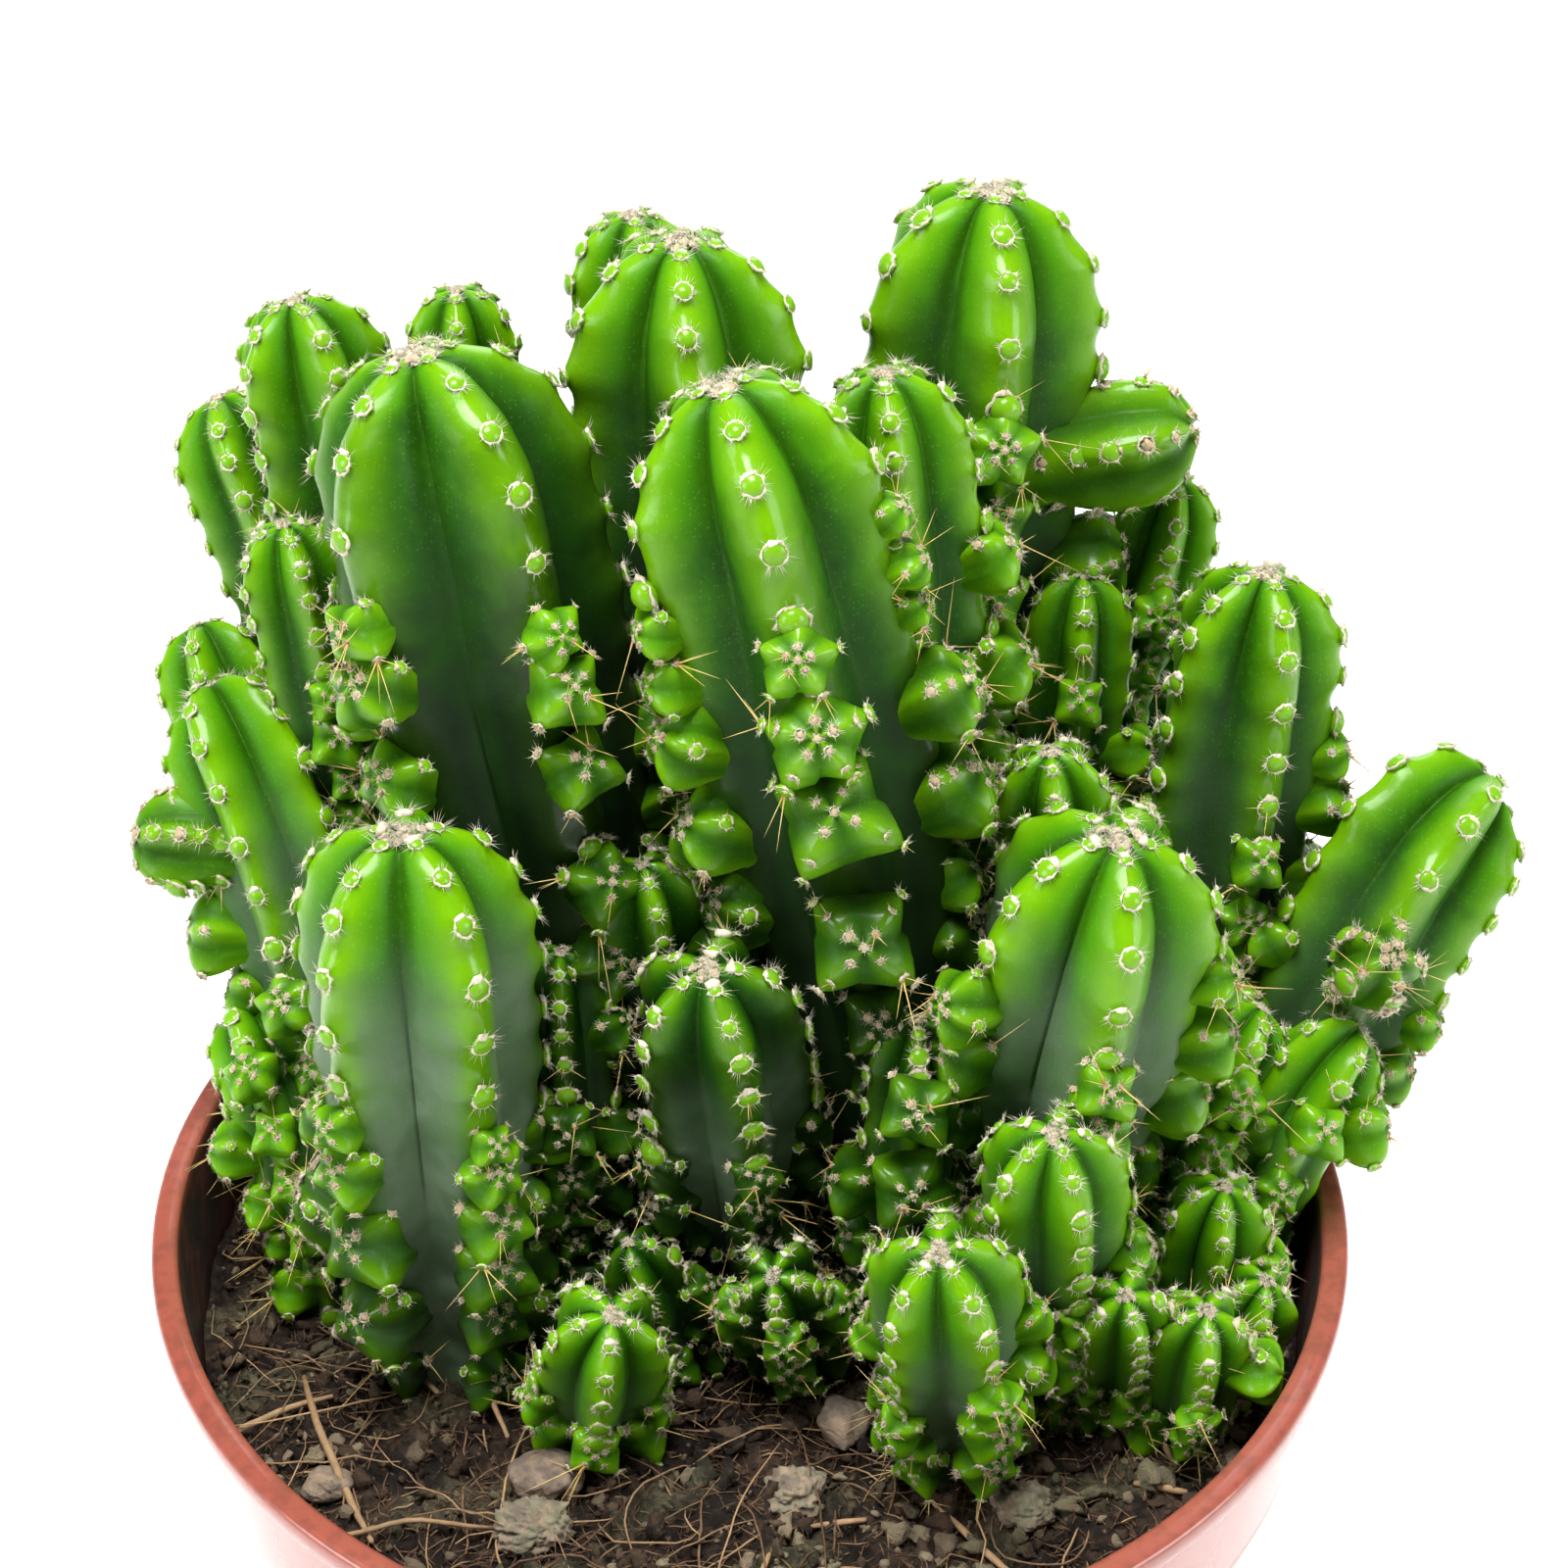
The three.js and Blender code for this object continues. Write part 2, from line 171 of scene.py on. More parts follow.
@dataclass
class MeshBuffer:
    """Points, faces and point masks gathered for one piece, in millimetres."""

    points: list[Array] = field(default_factory=list)
    quads: list[Array] = field(default_factory=list)
    tris: list[Array] = field(default_factory=list)
    masks: dict[str, list[Array]] = field(default_factory=dict)
    count: int = 0

    def add(self, points: Array, quads: Array, tris: Array, **masks: Array | float) -> None:
        """Adds one closed shape.

        Args:
            points: its points, (n, 3).
            quads: its four-sided faces, (q, 4).
            tris: its triangles, (t, 3).
            masks: a number, or one for each point, by name.
        """
        for name, value in masks.items():
            self.masks.setdefault(name, []).append(np.broadcast_to(value, len(points)).astype(float))
        self.points.append(points)
        self.quads.append(np.asarray(quads, int).reshape(-1, 4) + self.count)
        self.tris.append(np.asarray(tris, int).reshape(-1, 3) + self.count)
        self.count += len(points)

    def scatter(self, shape: Template, frames: Array, origins: Array, **masks: Array | float) -> None:
        """Sets a shape down once for each frame.

        Args:
            shape: the shape.
            frames: its axes and sizes, (n, 3, 3).
            origins: where it stands, (n, 3).
            masks: a number, one for each copy (n,), or one for each point of each copy (n, k).
        """
        copies, size = len(origins), len(shape.points)
        if not copies:
            return
        placed = np.einsum("nij,kj->nki", frames, shape.points) + origins[:, None, :]
        step = (np.arange(copies) * size)[:, None, None]
        spread = {}
        for name, value in masks.items():
            value = np.asarray(value, float)
            value = value[:, None] if value.ndim == 1 else value
            spread[name] = np.broadcast_to(value, (copies, size)).reshape(-1)
        self.add(placed.reshape(-1, 3), shape.quads[None] + step, shape.tris[None] + step, **spread)

    def faces(self) -> int:
        """How many faces the buffer holds."""
        return sum(map(len, self.quads)) + sum(map(len, self.tris))

    def piece(self, name: str, material: bpy.types.Material, slot: Slot,
              nodes: Iterable[str] = ()) -> bpy.types.Object:
        """Args:
            name: the piece's name.
            material: its finish.
            slot: not used.
            nodes: CAD nodes that the piece stands for.

        Returns:
            The new object.
        """
        quads, tris = np.concatenate(self.quads), np.concatenate(self.tris)
        loops = np.concatenate([quads.ravel(), tris.ravel()])
        starts = np.concatenate([np.arange(len(quads)) * 4, len(quads) * 4 + np.arange(len(tris)) * 3])
        mesh = bpy.data.meshes.new(name)
        mesh.vertices.add(self.count)
        mesh.vertices.foreach_set("co", (np.concatenate(self.points) * METRES).astype(np.float32).ravel())
        mesh.loops.add(len(loops))
        mesh.loops.foreach_set("vertex_index", loops.astype(np.int32))
        mesh.polygons.add(len(starts))
        mesh.polygons.foreach_set("loop_start", starts.astype(np.int32))
        for mask, parts in self.masks.items():
            layer = mesh.attributes.new(mask, "FLOAT", "POINT")
            layer.data.foreach_set("value", np.concatenate(parts).astype(np.float32))
        mesh.update(calc_edges=True)
        mesh.validate()
        mesh.shade_smooth()
        mesh.materials.append(material)
        thing = bpy.data.objects.new(name, mesh)
        bpy.context.scene.collection.objects.link(thing)
        return declare(thing, nodes)


def declare(thing: bpy.types.Object, nodes: Iterable[str] = ()) -> bpy.types.Object:
    """Makes a piece ride on the body and stand for its CAD nodes, which it hides.

    Args:
        thing: the piece.
        nodes: CAD nodes that the piece stands for.

    Returns:
        The same piece.
    """
    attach(thing, BODY)
    if list(nodes):
        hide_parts(*nodes)
    LOG.info("%s: %d faces", thing.name, len(thing.data.polygons))
    return thing


def loft(rings: Array, start: Array, end: Array) -> Template:
    """A closed skin over rings of points, with one point closing each end.

    Args:
        rings: (rings, points round, 3).
        start: the point below the first ring.
        end: the point above the last ring.

    Returns:
        The closed shape.
    """
    rows, around = rings.shape[:2]
    points = np.concatenate([rings.reshape(-1, 3), start[None], end[None]])
    i, j = np.meshgrid(np.arange(rows - 1), np.arange(around), indexing="ij")
    k = (j + 1) % around
    quads = np.stack([i * around + j, i * around + k, (i + 1) * around + k, (i + 1) * around + j], -1)
    j = np.arange(around)
    k = (j + 1) % around
    foot, top, last = rows * around, rows * around + 1, (rows - 1) * around
    caps = [np.stack([np.full_like(j, foot), k, j], -1),
            np.stack([np.full_like(j, top), last + j, last + k], -1)]
    return Template(points, quads.reshape(-1, 4), np.concatenate(caps))


def ball(level: int) -> Template:
    """A round lump of triangles, one unit in radius.

    Args:
        level: how finely it is divided.

    Returns:
        The closed shape.
    """
    form = bmesh.new()
    bmesh.ops.create_icosphere(form, subdivisions=level, radius=1.0)
    points = np.array([v.co[:] for v in form.verts])
    tris = np.array([[v.index for v in f.verts] for f in form.faces])
    form.free()
    return Template(points, np.zeros((0, 4), int), tris)


def lumps(level: int, seeds: Iterable[int], rough: float, size: float) -> list[Template]:
    """Uneven versions of a ball.

    Args:
        level: how finely the ball is divided.
        seeds: one for each version.
        rough: how far the surface moves, as a share of the radius.
        size: wavelength of the unevenness, in radii.

    Returns:
        One shape for each seed.
    """
    base = ball(level)
    shapes = []
    for seed in seeds:
        large = Ripple(seed, size).at(base.points)
        small = Ripple(seed + 50, size / 3).at(base.points)
        moved = 1 + rough * large + 0.4 * rough * small
        shapes.append(base._replace(points=base.points * moved[:, None]))
    return shapes


def dome_bead(around: int, rows: int) -> Template:
    """A bead whose base sits in the skin and whose third axis points out.

    Args:
        around: points in each ring.
        rows: rings from the base to the top.

    Returns:
        The closed shape, one unit in radius.
    """
    height = np.linspace(-0.7, 0.97, rows)
    reach = np.sqrt(1 - height**2)
    angle = np.arange(around) * TURN / around
    rings = np.stack([reach[:, None] * np.cos(angle), reach[:, None] * np.sin(angle),
                      np.repeat(height[:, None], around, 1)], -1)
    return loft(rings, np.array([0, 0, -0.75]), np.array([0, 0, 1.0]))


def wool_ring(seed: int, around: int = 17, sides: int = 4, tube: float = 0.15) -> Template:
    """A ragged ring of matted wool, one unit in radius.

    Args:
        seed: seed of its raggedness.
        around: sections round the ring.
        sides: corners of each section.
        tube: usual radius of a section.

    Returns:
        The closed shape.
    """
    rng = np.random.default_rng(seed)
    angle = np.arange(around) * TURN / around
    section = np.arange(sides) * TURN / sides
    clumps = 0.35 + 1.3 * rng.random(around) ** 1.3
    thick = tube * rng.uniform(0.6, 1.4, (around, sides)) * clumps[:, None]
    centre = 1 + rng.uniform(-0.13, 0.13, around)[:, None]
    lift = rng.uniform(-0.12, 0.12, around)[:, None]
    reach = centre + thick * np.cos(section)
    points = np.stack([reach * np.cos(angle)[:, None], reach * np.sin(angle)[:, None],
                       lift + thick * np.sin(section)], -1).reshape(-1, 3)
    i, j = np.meshgrid(np.arange(around), np.arange(sides), indexing="ij")
    a, b = (i + 1) % around, (j + 1) % sides
    quads = np.stack([i * sides + j, a * sides + j, a * sides + b, i * sides + b], -1).reshape(-1, 4)
    return Template(points, quads, np.zeros((0, 3), int))


def spike(sides: int, rows: int, swelling: float) -> Template:
    """A thin pointed hair or spine along the third axis, one unit long and one unit in radius.

    Args:
        sides: corners of its section.
        rows: rings along it.
        swelling: how much thicker the base is.

    Returns:
        The closed shape.
    """
    along = np.linspace(0, 0.9, rows)
    reach = (1 - along) ** 0.8 * (1 + swelling * np.exp(-((along / 0.06) ** 2)))
    angle = np.arange(sides) * TURN / sides
    rings = np.stack([reach[:, None] * np.cos(angle), reach[:, None] * np.sin(angle),
                      np.repeat(along[:, None], sides, 1)], -1)
    return loft(rings, np.array([0, 0, -0.01]), np.array([0, 0, 1.0]))


def tetra_hair() -> Template:
    """The simplest closed hair.

    Returns:
        Three corners at the root and a point one unit up.
    """
    angle = np.arange(3) * TURN / 3
    base = np.stack([np.cos(angle), np.sin(angle), np.zeros(3)], -1)
    points = np.concatenate([base, [[0, 0, 1.0]]])
    return Template(points, np.zeros((0, 4), int), np.array([[0, 2, 1], [0, 1, 3], [1, 2, 3], [2, 0, 3]]))


# ---- Shader groups ----

Socket = bpy.types.NodeSocket


class Bench:
    """Short ways of adding and joining the nodes of one tree."""

    def __init__(self, tree: bpy.types.NodeTree) -> None:
        """Works on this tree."""
        self.tree = tree

    def add(self, kind: str, inputs: dict | None = None, **settings: object) -> bpy.types.Node:
        """Adds a node.

        Args:
            kind: the node's type, without its ShaderNode prefix.
            inputs: a value or a socket for each input, by name or number.
            settings: the node's own settings.

        Returns:
            The new node.
        """
        node = self.tree.nodes.new("ShaderNode" + kind)
        for name, value in settings.items():
            setattr(node, name, value)
        for name, value in (inputs or {}).items():
            if isinstance(value, Socket):
                self.tree.links.new(value, node.inputs[name])
            else:
                node.inputs[name].default_value = value
        return node

    def maths(self, operation: str, *values: Socket | float, clamp: bool = False) -> Socket:
        """The result of one sum."""
        return self.add("Math", dict(enumerate(values)), operation=operation, use_clamp=clamp).outputs[0]

    def span(self, value: Socket, low: float, high: float, to: tuple[float, float] = (0.0, 1.0)) -> Socket:
        """A soft step of a value from one span to another."""
        return self.add("MapRange", {0: value, 1: low, 2: high, 3: to[0], 4: to[1]},
                        interpolation_type="SMOOTHSTEP").outputs[0]

    def blend(self, share: Socket | float, first: Socket | tuple, second: Socket | tuple) -> Socket:
        """A mix of two colours."""
        inputs = {0: share, 6: first, 7: second}
        return self.add("Mix", inputs, data_type="RGBA").outputs[2]

    def mask(self, name: str) -> Socket:
        """A point mask of the mesh."""
        return self.add("Attribute", attribute_name=name).outputs["Fac"]

    def effect(self, group: bpy.types.NodeTree, **values: Socket | float) -> Socket:
        """Places a shader group with its own values.

        Args:
            group: the group.
            values: a value or a socket for each of its inputs.

        Returns:
            The group's output.
        """
        node = self.add("Group")
        node.node_tree = group
        for name, value in values.items():
            target = node.inputs[name.replace("_", " ").capitalize()]
            if isinstance(value, Socket):
                self.tree.links.new(value, target)
            else:
                target.default_value = value
        return node.outputs[0]


def shader_group(name: str, inputs: dict[str, float], output: str,
                 build: Callable[[Bench, Callable[[str], Socket]], Socket]) -> bpy.types.NodeTree:
    """Makes one effect that several finishes share.

    Args:
        name: the effect's name.
        inputs: each input's name and first value.
        output: the name of the value it gives.
        build: adds the nodes and returns the value.

    Returns:
        The group.
    """
    group = bpy.data.node_groups.new(name, "ShaderNodeTree")
    for label, value in inputs.items():
        socket = group.interface.new_socket(name=label, in_out="INPUT", socket_type="NodeSocketFloat")
        socket.default_value = value
    group.interface.new_socket(name=output, in_out="OUTPUT", socket_type="NodeSocketFloat")
    entry, leave = group.nodes.new("NodeGroupInput"), group.nodes.new("NodeGroupOutput")
    result = build(Bench(group), lambda label: entry.outputs[label])
    group.links.new(result, leave.inputs[0])
    return group


class Effects:
    """The shader groups that the finishes share. Sizes are in millimetres."""

    def __init__(self) -> None:
        """Builds every group once."""
        self.mottling = shader_group("Mottling", {"Size": 5.0, "Detail": 4.0}, "Value", self._mottling)
        self.speckle = shader_group("Speckle", {"Size": 0.5, "Share": 0.4, "Radius": 0.3}, "Mask",
                                    self._speckle)
        self.grain = shader_group("Grain", {"Size": 0.4, "Roughness": 0.6}, "Height", self._grain)
        self.dust = shader_group("Dust", {"Amount": 0.5, "Size": 4.0}, "Mask", self._dust)

    @staticmethod
    def _scale(bench: Bench, size: Socket) -> Socket:
        """Texture scale of a size in millimetres."""
        return bench.maths("DIVIDE", 1 / METRES, size)

    @staticmethod
    def _place(bench: Bench) -> Socket:
        """Where a point is on the object."""
        return bench.add("TexCoord").outputs["Object"]

    def _noise(self, bench: Bench, size: Socket, **inputs: Socket | float) -> Socket:
        """Noise of a size in millimetres, from 0 to 1."""
        where = {"Vector": self._place(bench), "Scale": self._scale(bench, size)}
        return bench.add("TexNoise", where | inputs).outputs[0]

    def _mottling(self, bench: Bench, given: Callable[[str], Socket]) -> Socket:
        """Cloudy patches from 0 to 1."""
        noise = self._noise(bench, given("Size"), Detail=given("Detail"), Distortion=0.4)
        return bench.span(noise, 0.3, 0.7)

    def _speckle(self, bench: Bench, given: Callable[[str], Socket]) -> Socket:
        """Small round dots on a share of the cells.

        Args:
            bench: the group's bench.
            given: looks up one of the group's inputs.

        Returns:
            The dots' mask.
        """
        cells = bench.add("TexVoronoi", {"Vector": self._place(bench), "Randomness": 1.0,
                                         "Scale": self._scale(bench, given("Size"))})
        near = bench.add("MapRange", {0: cells.outputs["Distance"], 1: given("Radius"), 2: 0.0,
                                      3: 0.0, 4: 1.0})
        pick = bench.add("SeparateColor", {0: cells.outputs["Color"]}).outputs[0]
        chosen = bench.maths("LESS_THAN", pick, given("Share"))
        return bench.maths("MULTIPLY", near.outputs[0], chosen, clamp=True)

    def _grain(self, bench: Bench, given: Callable[[str], Socket]) -> Socket:
        """A fine uneven height."""
        return self._noise(bench, given("Size"), Detail=5.0, Roughness=given("Roughness"))

    def _dust(self, bench: Bench, given: Callable[[str], Socket]) -> Socket:
        """Dust that lies on what faces up, in patches.

        Args:
            bench: the group's bench.
            given: looks up one of the group's inputs.

        Returns:
            The dust's mask.
        """
        up = bench.add("SeparateXYZ", {0: bench.add("NewGeometry").outputs["Normal"]}).outputs[2]
        noise = self._noise(bench, given("Size"), Detail=6.0)
        lying = bench.maths("MULTIPLY", bench.span(up, -0.1, 0.9), bench.span(noise, 0.42, 0.66))
        return bench.maths("MULTIPLY", lying, given("Amount"), clamp=True)


def rgb(red: float, green: float, blue: float) -> Colour:
    """An opaque colour."""
    return red, green, blue, 1.0


def new_material(name: str, shader: dict[str, object]) -> tuple[bpy.types.Material, Bench, bpy.types.Node]:
    """Starts a material.

    Args:
        name: its name.
        shader: constant values for the shader's own inputs.

    Returns:
        The material, a bench on its tree, and its shader.
    """
    material = bpy.data.materials.new(name)
    material.use_nodes = True
    shading = material.node_tree.nodes["Principled BSDF"]
    for label, value in shader.items():
        shading.inputs[label].default_value = value
    return material, Bench(material.node_tree), shading


def feed(bench: Bench, shading: bpy.types.Node, colour: Socket, roughness: Socket, height: Socket,
         depth: float) -> None:
    """Joins colour, roughness and a bump height to a shader.

    Args:
        bench: the material's bench.
        shading: the shader.
        colour: base colour.
        roughness: roughness.
        height: height from 0 to 1.
        depth: what the full height is, in millimetres.
    """
    bump = bench.add("Bump", {"Strength": 1.0, "Distance": depth * METRES, "Height": height})
    bench.tree.links.new(colour, shading.inputs["Base Color"])
    bench.tree.links.new(roughness, shading.inputs["Roughness"])
    bench.tree.links.new(bump.outputs[0], shading.inputs["Normal"])


# ---- Finishes ----


@dataclass(frozen=True)
class SkinFinish:
    """The green skin of the stems: yellowish and light when young, with painted light on the crests and
    painted shade in the grooves, deeper below and inside the clump (partly ageing, partly painted shade),
    with pale pores and a waxy grey bloom low on the flanks."""

    young: Colour = rgb(0.046, 0.190, 0.001)
    grown: Colour = rgb(0.010, 0.066, 0.001)
    # The darkest green is partly the colour of older skin and partly painted shade low on the stems and
    # inside the clump.
    old_and_shaded: Colour = rgb(0.0020, 0.011, 0.001)
    # The crest colour is painted light on the rib crests; the groove colour is painted shade in the grooves.
    crest: Colour = rgb(0.150, 0.360, 0.001)
    groove: Colour = rgb(0.006, 0.032, 0.001)
    bloom: Colour = rgb(0.120, 0.180, 0.105)
    pore: Colour = rgb(0.20, 0.38, 0.08)
    bead: Colour = rgb(0.150, 0.340, 0.010)

    def material(self, effects: Effects) -> bpy.types.Material:
        """Builds the material.

        Args:
            effects: the shared shader groups.

        Returns:
            The finished material.
        """
        material, bench, shading = new_material("stem_skin", {"Specular IOR Level": 0.08,
                                                             "Coat Roughness": 0.16})
        age, crest, waxy = bench.mask("age"), bench.mask("crest"), bench.mask("bloom")
        budding = bench.mask("bead")
        patches = bench.effect(effects.mottling, size=6.0, detail=3.0)
        fine = bench.effect(effects.mottling, size=0.9, detail=4.0)
        # The mask read here carries ageing and painted shade: it deepens the green towards the foot and
        # inside the clump.
        uneven = bench.maths("ADD", age, bench.maths("MULTIPLY", bench.maths("SUBTRACT", patches, 0.5), 0.22))
        body = bench.blend(bench.span(uneven, 0.05, 0.5), self.young, self.grown)
        body = bench.blend(bench.span(uneven, 0.45, 1.0), body, self.old_and_shaded)
        # Painted light: the crests turn lighter where the ribs catch the light, most on the young tips.
        painted_crest_light = bench.maths("MULTIPLY", bench.span(crest, 0.18, 0.95),
                             bench.span(uneven, 0.95, 0.1, (0.06, 0.85)))
        body = bench.blend(painted_crest_light, body, self.crest)
        # Painted shade: the grooves darken towards the groove colour.
        body = bench.blend(bench.maths("MULTIPLY", bench.span(crest, 0.3, 0.0), 0.6), body, self.groove)
        lively = bench.span(uneven, 0.9, 0.2, (0.1, 1.0))
        body = bench.blend(bench.maths("MULTIPLY", fine, bench.maths("MULTIPLY", lively, 0.12)), body,
                           self.young)
        body = bench.blend(bench.maths("MULTIPLY", budding, 0.6), body, self.bead)
        cloud = bench.maths("MULTIPLY", waxy, bench.span(patches, -0.3, 0.9, (0.55, 1.0)), clamp=True)
        body = bench.blend(cloud, body, self.bloom)
        pores = bench.effect(effects.speckle, size=0.42, share=0.5, radius=0.34)
        body = bench.blend(bench.maths("MULTIPLY", pores, bench.maths("MULTIPLY", lively, 0.24)), body,
                           self.pore)
        gloss = bench.maths("ADD", bench.span(crest, 0.2, 1.0, (0.46, 0.30)),
                            bench.maths("MULTIPLY", cloud, 0.3))
        height = bench.maths("ADD", bench.effect(effects.grain, size=0.7, roughness=0.55),
                             bench.maths("MULTIPLY", pores, 0.35))
        raised = bench.maths("ADD", crest, bench.maths("MULTIPLY", budding, 0.4))
        shine = bench.span(raised, 0.35, 1.1, (0.02, 0.5))
        bench.tree.links.new(shine, shading.inputs["Coat Weight"])
        feed(bench, shading, body, gloss, height, 0.05)
        return material


@dataclass(frozen=True)
class PotFinish:
    """Brick-coloured moulded plastic, glossy outside, dusty, and darkened inside by soil grime and painted
    shade.
    """

    plastic: Colour = rgb(0.27, 0.066, 0.043)
    faded: Colour = rgb(0.34, 0.105, 0.078)
    # The earth colour is soil grime and dust, and on the inside wall also painted shade.
    earth: Colour = rgb(0.035, 0.020, 0.013)

    def material(self, effects: Effects) -> bpy.types.Material:
        """Builds the material.

        Args:
            effects: the shared shader groups.

        Returns:
            The finished material.
        """
        material, bench, shading = new_material("pot_plastic", {"IOR": 1.5, "Coat Weight": 0.35,
                                                               "Coat Roughness": 0.12})
        inside = bench.mask("inside")
        clouds = bench.effect(effects.mottling, size=24.0, detail=3.0)
        body = bench.blend(bench.maths("MULTIPLY", clouds, 0.3), self.plastic, self.faded)
        scuffs = bench.effect(effects.speckle, size=2.6, share=0.2, radius=0.12)
        body = bench.blend(bench.maths("MULTIPLY", scuffs, 0.15), body, self.faded)
        smears = bench.effect(effects.mottling, size=5.0, detail=6.0)
        # Soil grime and painted shade: the inside darkens towards the earth colour, more in smeared patches.
        dirt_and_shade = bench.maths("MULTIPLY", inside, bench.maths("ADD", bench.maths("MULTIPLY", smears, 0.5), 0.55),
                           clamp=True)
        dust = bench.effect(effects.dust, amount=0.25, size=1.6)
        body = bench.blend(dust, bench.blend(dirt_and_shade, body, self.earth), self.earth)
        gloss = bench.maths("ADD", bench.maths("MULTIPLY", clouds, 0.03),
                            bench.span(dirt_and_shade, 0.0, 1.0, (0.24, 0.8)))
        feed(bench, shading, body, gloss, bench.effect(effects.grain, size=0.8, roughness=0.5), 0.015)
        return material


@dataclass(frozen=True)
class SoilFinish:
    """Dark peat with brown, pale and mossy bits, and painted shade under the clump."""

    peat: Colour = rgb(0.012, 0.008, 0.0055)
    brown: Colour = rgb(0.095, 0.058, 0.036)
    pale: Colour = rgb(0.34, 0.27, 0.17)
    moss: Colour = rgb(0.23, 0.22, 0.12)

    def material(self, effects: Effects) -> bpy.types.Material:
        """Builds the material.

        Args:
            effects: the shared shader groups.

        Returns:
            The finished material.
        """
        material, bench, shading = new_material("soil", {"Specular IOR Level": 0.25})
        tone = bench.mask("tone")
        crumbs = bench.effect(effects.mottling, size=1.1, detail=6.0)
        clouds = bench.effect(effects.mottling, size=9.0, detail=4.0)
        mixed = bench.maths("MULTIPLY", bench.maths("ADD", crumbs, clouds), 0.5)
        # The tone mask brings in brown and pale; painted shade lowers it under the clump.
        body = bench.blend(bench.span(bench.maths("ADD", mixed, tone), 0.25, 1.1), self.peat, self.brown)
        specks = bench.effect(effects.speckle, size=0.9, share=0.22, radius=0.3)
        body = bench.blend(bench.maths("MULTIPLY", specks, 0.6), body, self.pale)
        body = bench.blend(bench.span(tone, 0.55, 1.0), body, self.pale)
        growth = bench.maths("MULTIPLY", bench.mask("moss"), bench.span(crumbs, 0.0, 1.0, (0.4, 1.0)))
        body = bench.blend(growth, body, self.moss)
        feed(bench, shading, body, bench.span(crumbs, 0.0, 1.0, (0.75, 0.98)),
             bench.effect(effects.grain, size=0.9, roughness=0.8), 1.1)
        return material


@dataclass(frozen=True)
class StoneFinish:
    """Grey-tan pebbles and clods, mossy in places."""

    grey: Colour = rgb(0.13, 0.10, 0.08)
    tan: Colour = rgb(0.30, 0.22, 0.15)
    moss: Colour = rgb(0.20, 0.20, 0.12)
    earth: Colour = rgb(0.040, 0.026, 0.017)

    def material(self, effects: Effects) -> bpy.types.Material:
        """Builds the material.

        Args:
            effects: the shared shader groups.

        Returns:
            The finished material.
        """
        material, bench, shading = new_material("stone", {"Specular IOR Level": 0.35})
        patches = bench.effect(effects.mottling, size=1.8, detail=6.0)
        body = bench.blend(patches, self.grey, self.tan)
        cushions = bench.effect(effects.mottling, size=2.6, detail=6.0)
        growth = bench.maths("MULTIPLY", cushions, bench.mask("moss"))
        body = bench.blend(growth, body, self.moss)
        pits = bench.effect(effects.speckle, size=0.7, share=0.35, radius=0.35)
        body = bench.blend(bench.maths("MULTIPLY", pits, 0.7), body, self.earth)
        body = bench.blend(bench.effect(effects.dust, amount=0.35, size=1.2), body, self.earth)
        feed(bench, shading, body, bench.span(patches, 0.0, 1.0, (0.7, 0.95)),
             bench.effect(effects.grain, size=0.6, roughness=0.65), 0.25)
        return material


@dataclass(frozen=True)
class StrandFinish:
    """Wool, spines or fibre: one colour at the root, one at the end, and streaks between."""

    name: str
    root: Colour
    end: Colour
    stain: Colour
    roughness: float
    depth: float

    def material(self, effects: Effects) -> bpy.types.Material:
        """Builds the material.

        Args:
            effects: the shared shader groups.

        Returns:
            The finished material.
        """
        material, bench, shading = new_material(self.name, {"Specular IOR Level": 0.3})
        along, tone = bench.mask("along"), bench.mask("tone")
        streaks = bench.effect(effects.mottling, size=0.8, detail=5.0)
        body = bench.blend(bench.span(along, 0.0, 0.45), self.root, self.end)
        darker = bench.maths("ADD", tone, bench.maths("MULTIPLY", streaks, 0.25))
        stained = bench.maths("MULTIPLY", darker, 0.8, clamp=True)
        body = bench.blend(stained, body, self.stain)
        gloss = bench.span(streaks, 0.0, 1.0, (self.roughness - 0.08, min(1.0, self.roughness + 0.08)))
        feed(bench, shading, body, gloss, bench.effect(effects.grain, size=0.16, roughness=0.7), self.depth)
        return material


WOOL = StrandFinish("wool", rgb(0.54, 0.46, 0.31), rgb(0.72, 0.67, 0.54), rgb(0.36, 0.24, 0.10), 0.9, 0.12)
SPINE = StrandFinish("spine", rgb(0.48, 0.27, 0.08), rgb(0.74, 0.58, 0.22), rgb(0.58, 0.38, 0.13), 0.4, 0.02)
FIBRE = StrandFinish("fibre", rgb(0.33, 0.20, 0.095), rgb(0.44, 0.28, 0.145), rgb(0.085, 0.045, 0.025), 0.75,
                     0.06)


# ---- Growth ----

RIB_STEPS = np.array([-36, -34, -31, -27, -22.5, -18, -13.5, -9.5, -6, -3, 0, 3, 6, 9.5, 13.5, 18, 22.5, 27,
                      31, 34]) / 36


def shade_from_above(places: Array, back: float, reach: float, fade: float) -> Array:
    """How far a place is under the clump, seen from above.

    Args:
        places: points in millimetres, (..., 3).
        back: how far behind the pot's middle the clump's middle stands.
        reach: distance from that middle at which the shade begins.
        fade: distance over which it becomes full.

    Returns:
        0 in the open, 1 in the middle.
    """
    return ease((reach - np.hypot(places[..., 0], places[..., 1] - back)) / fade)


class Offset(NamedTuple):
    """A small stub that grows on a rib."""

    rib: int
    drop: float
    half: float
    reach: float


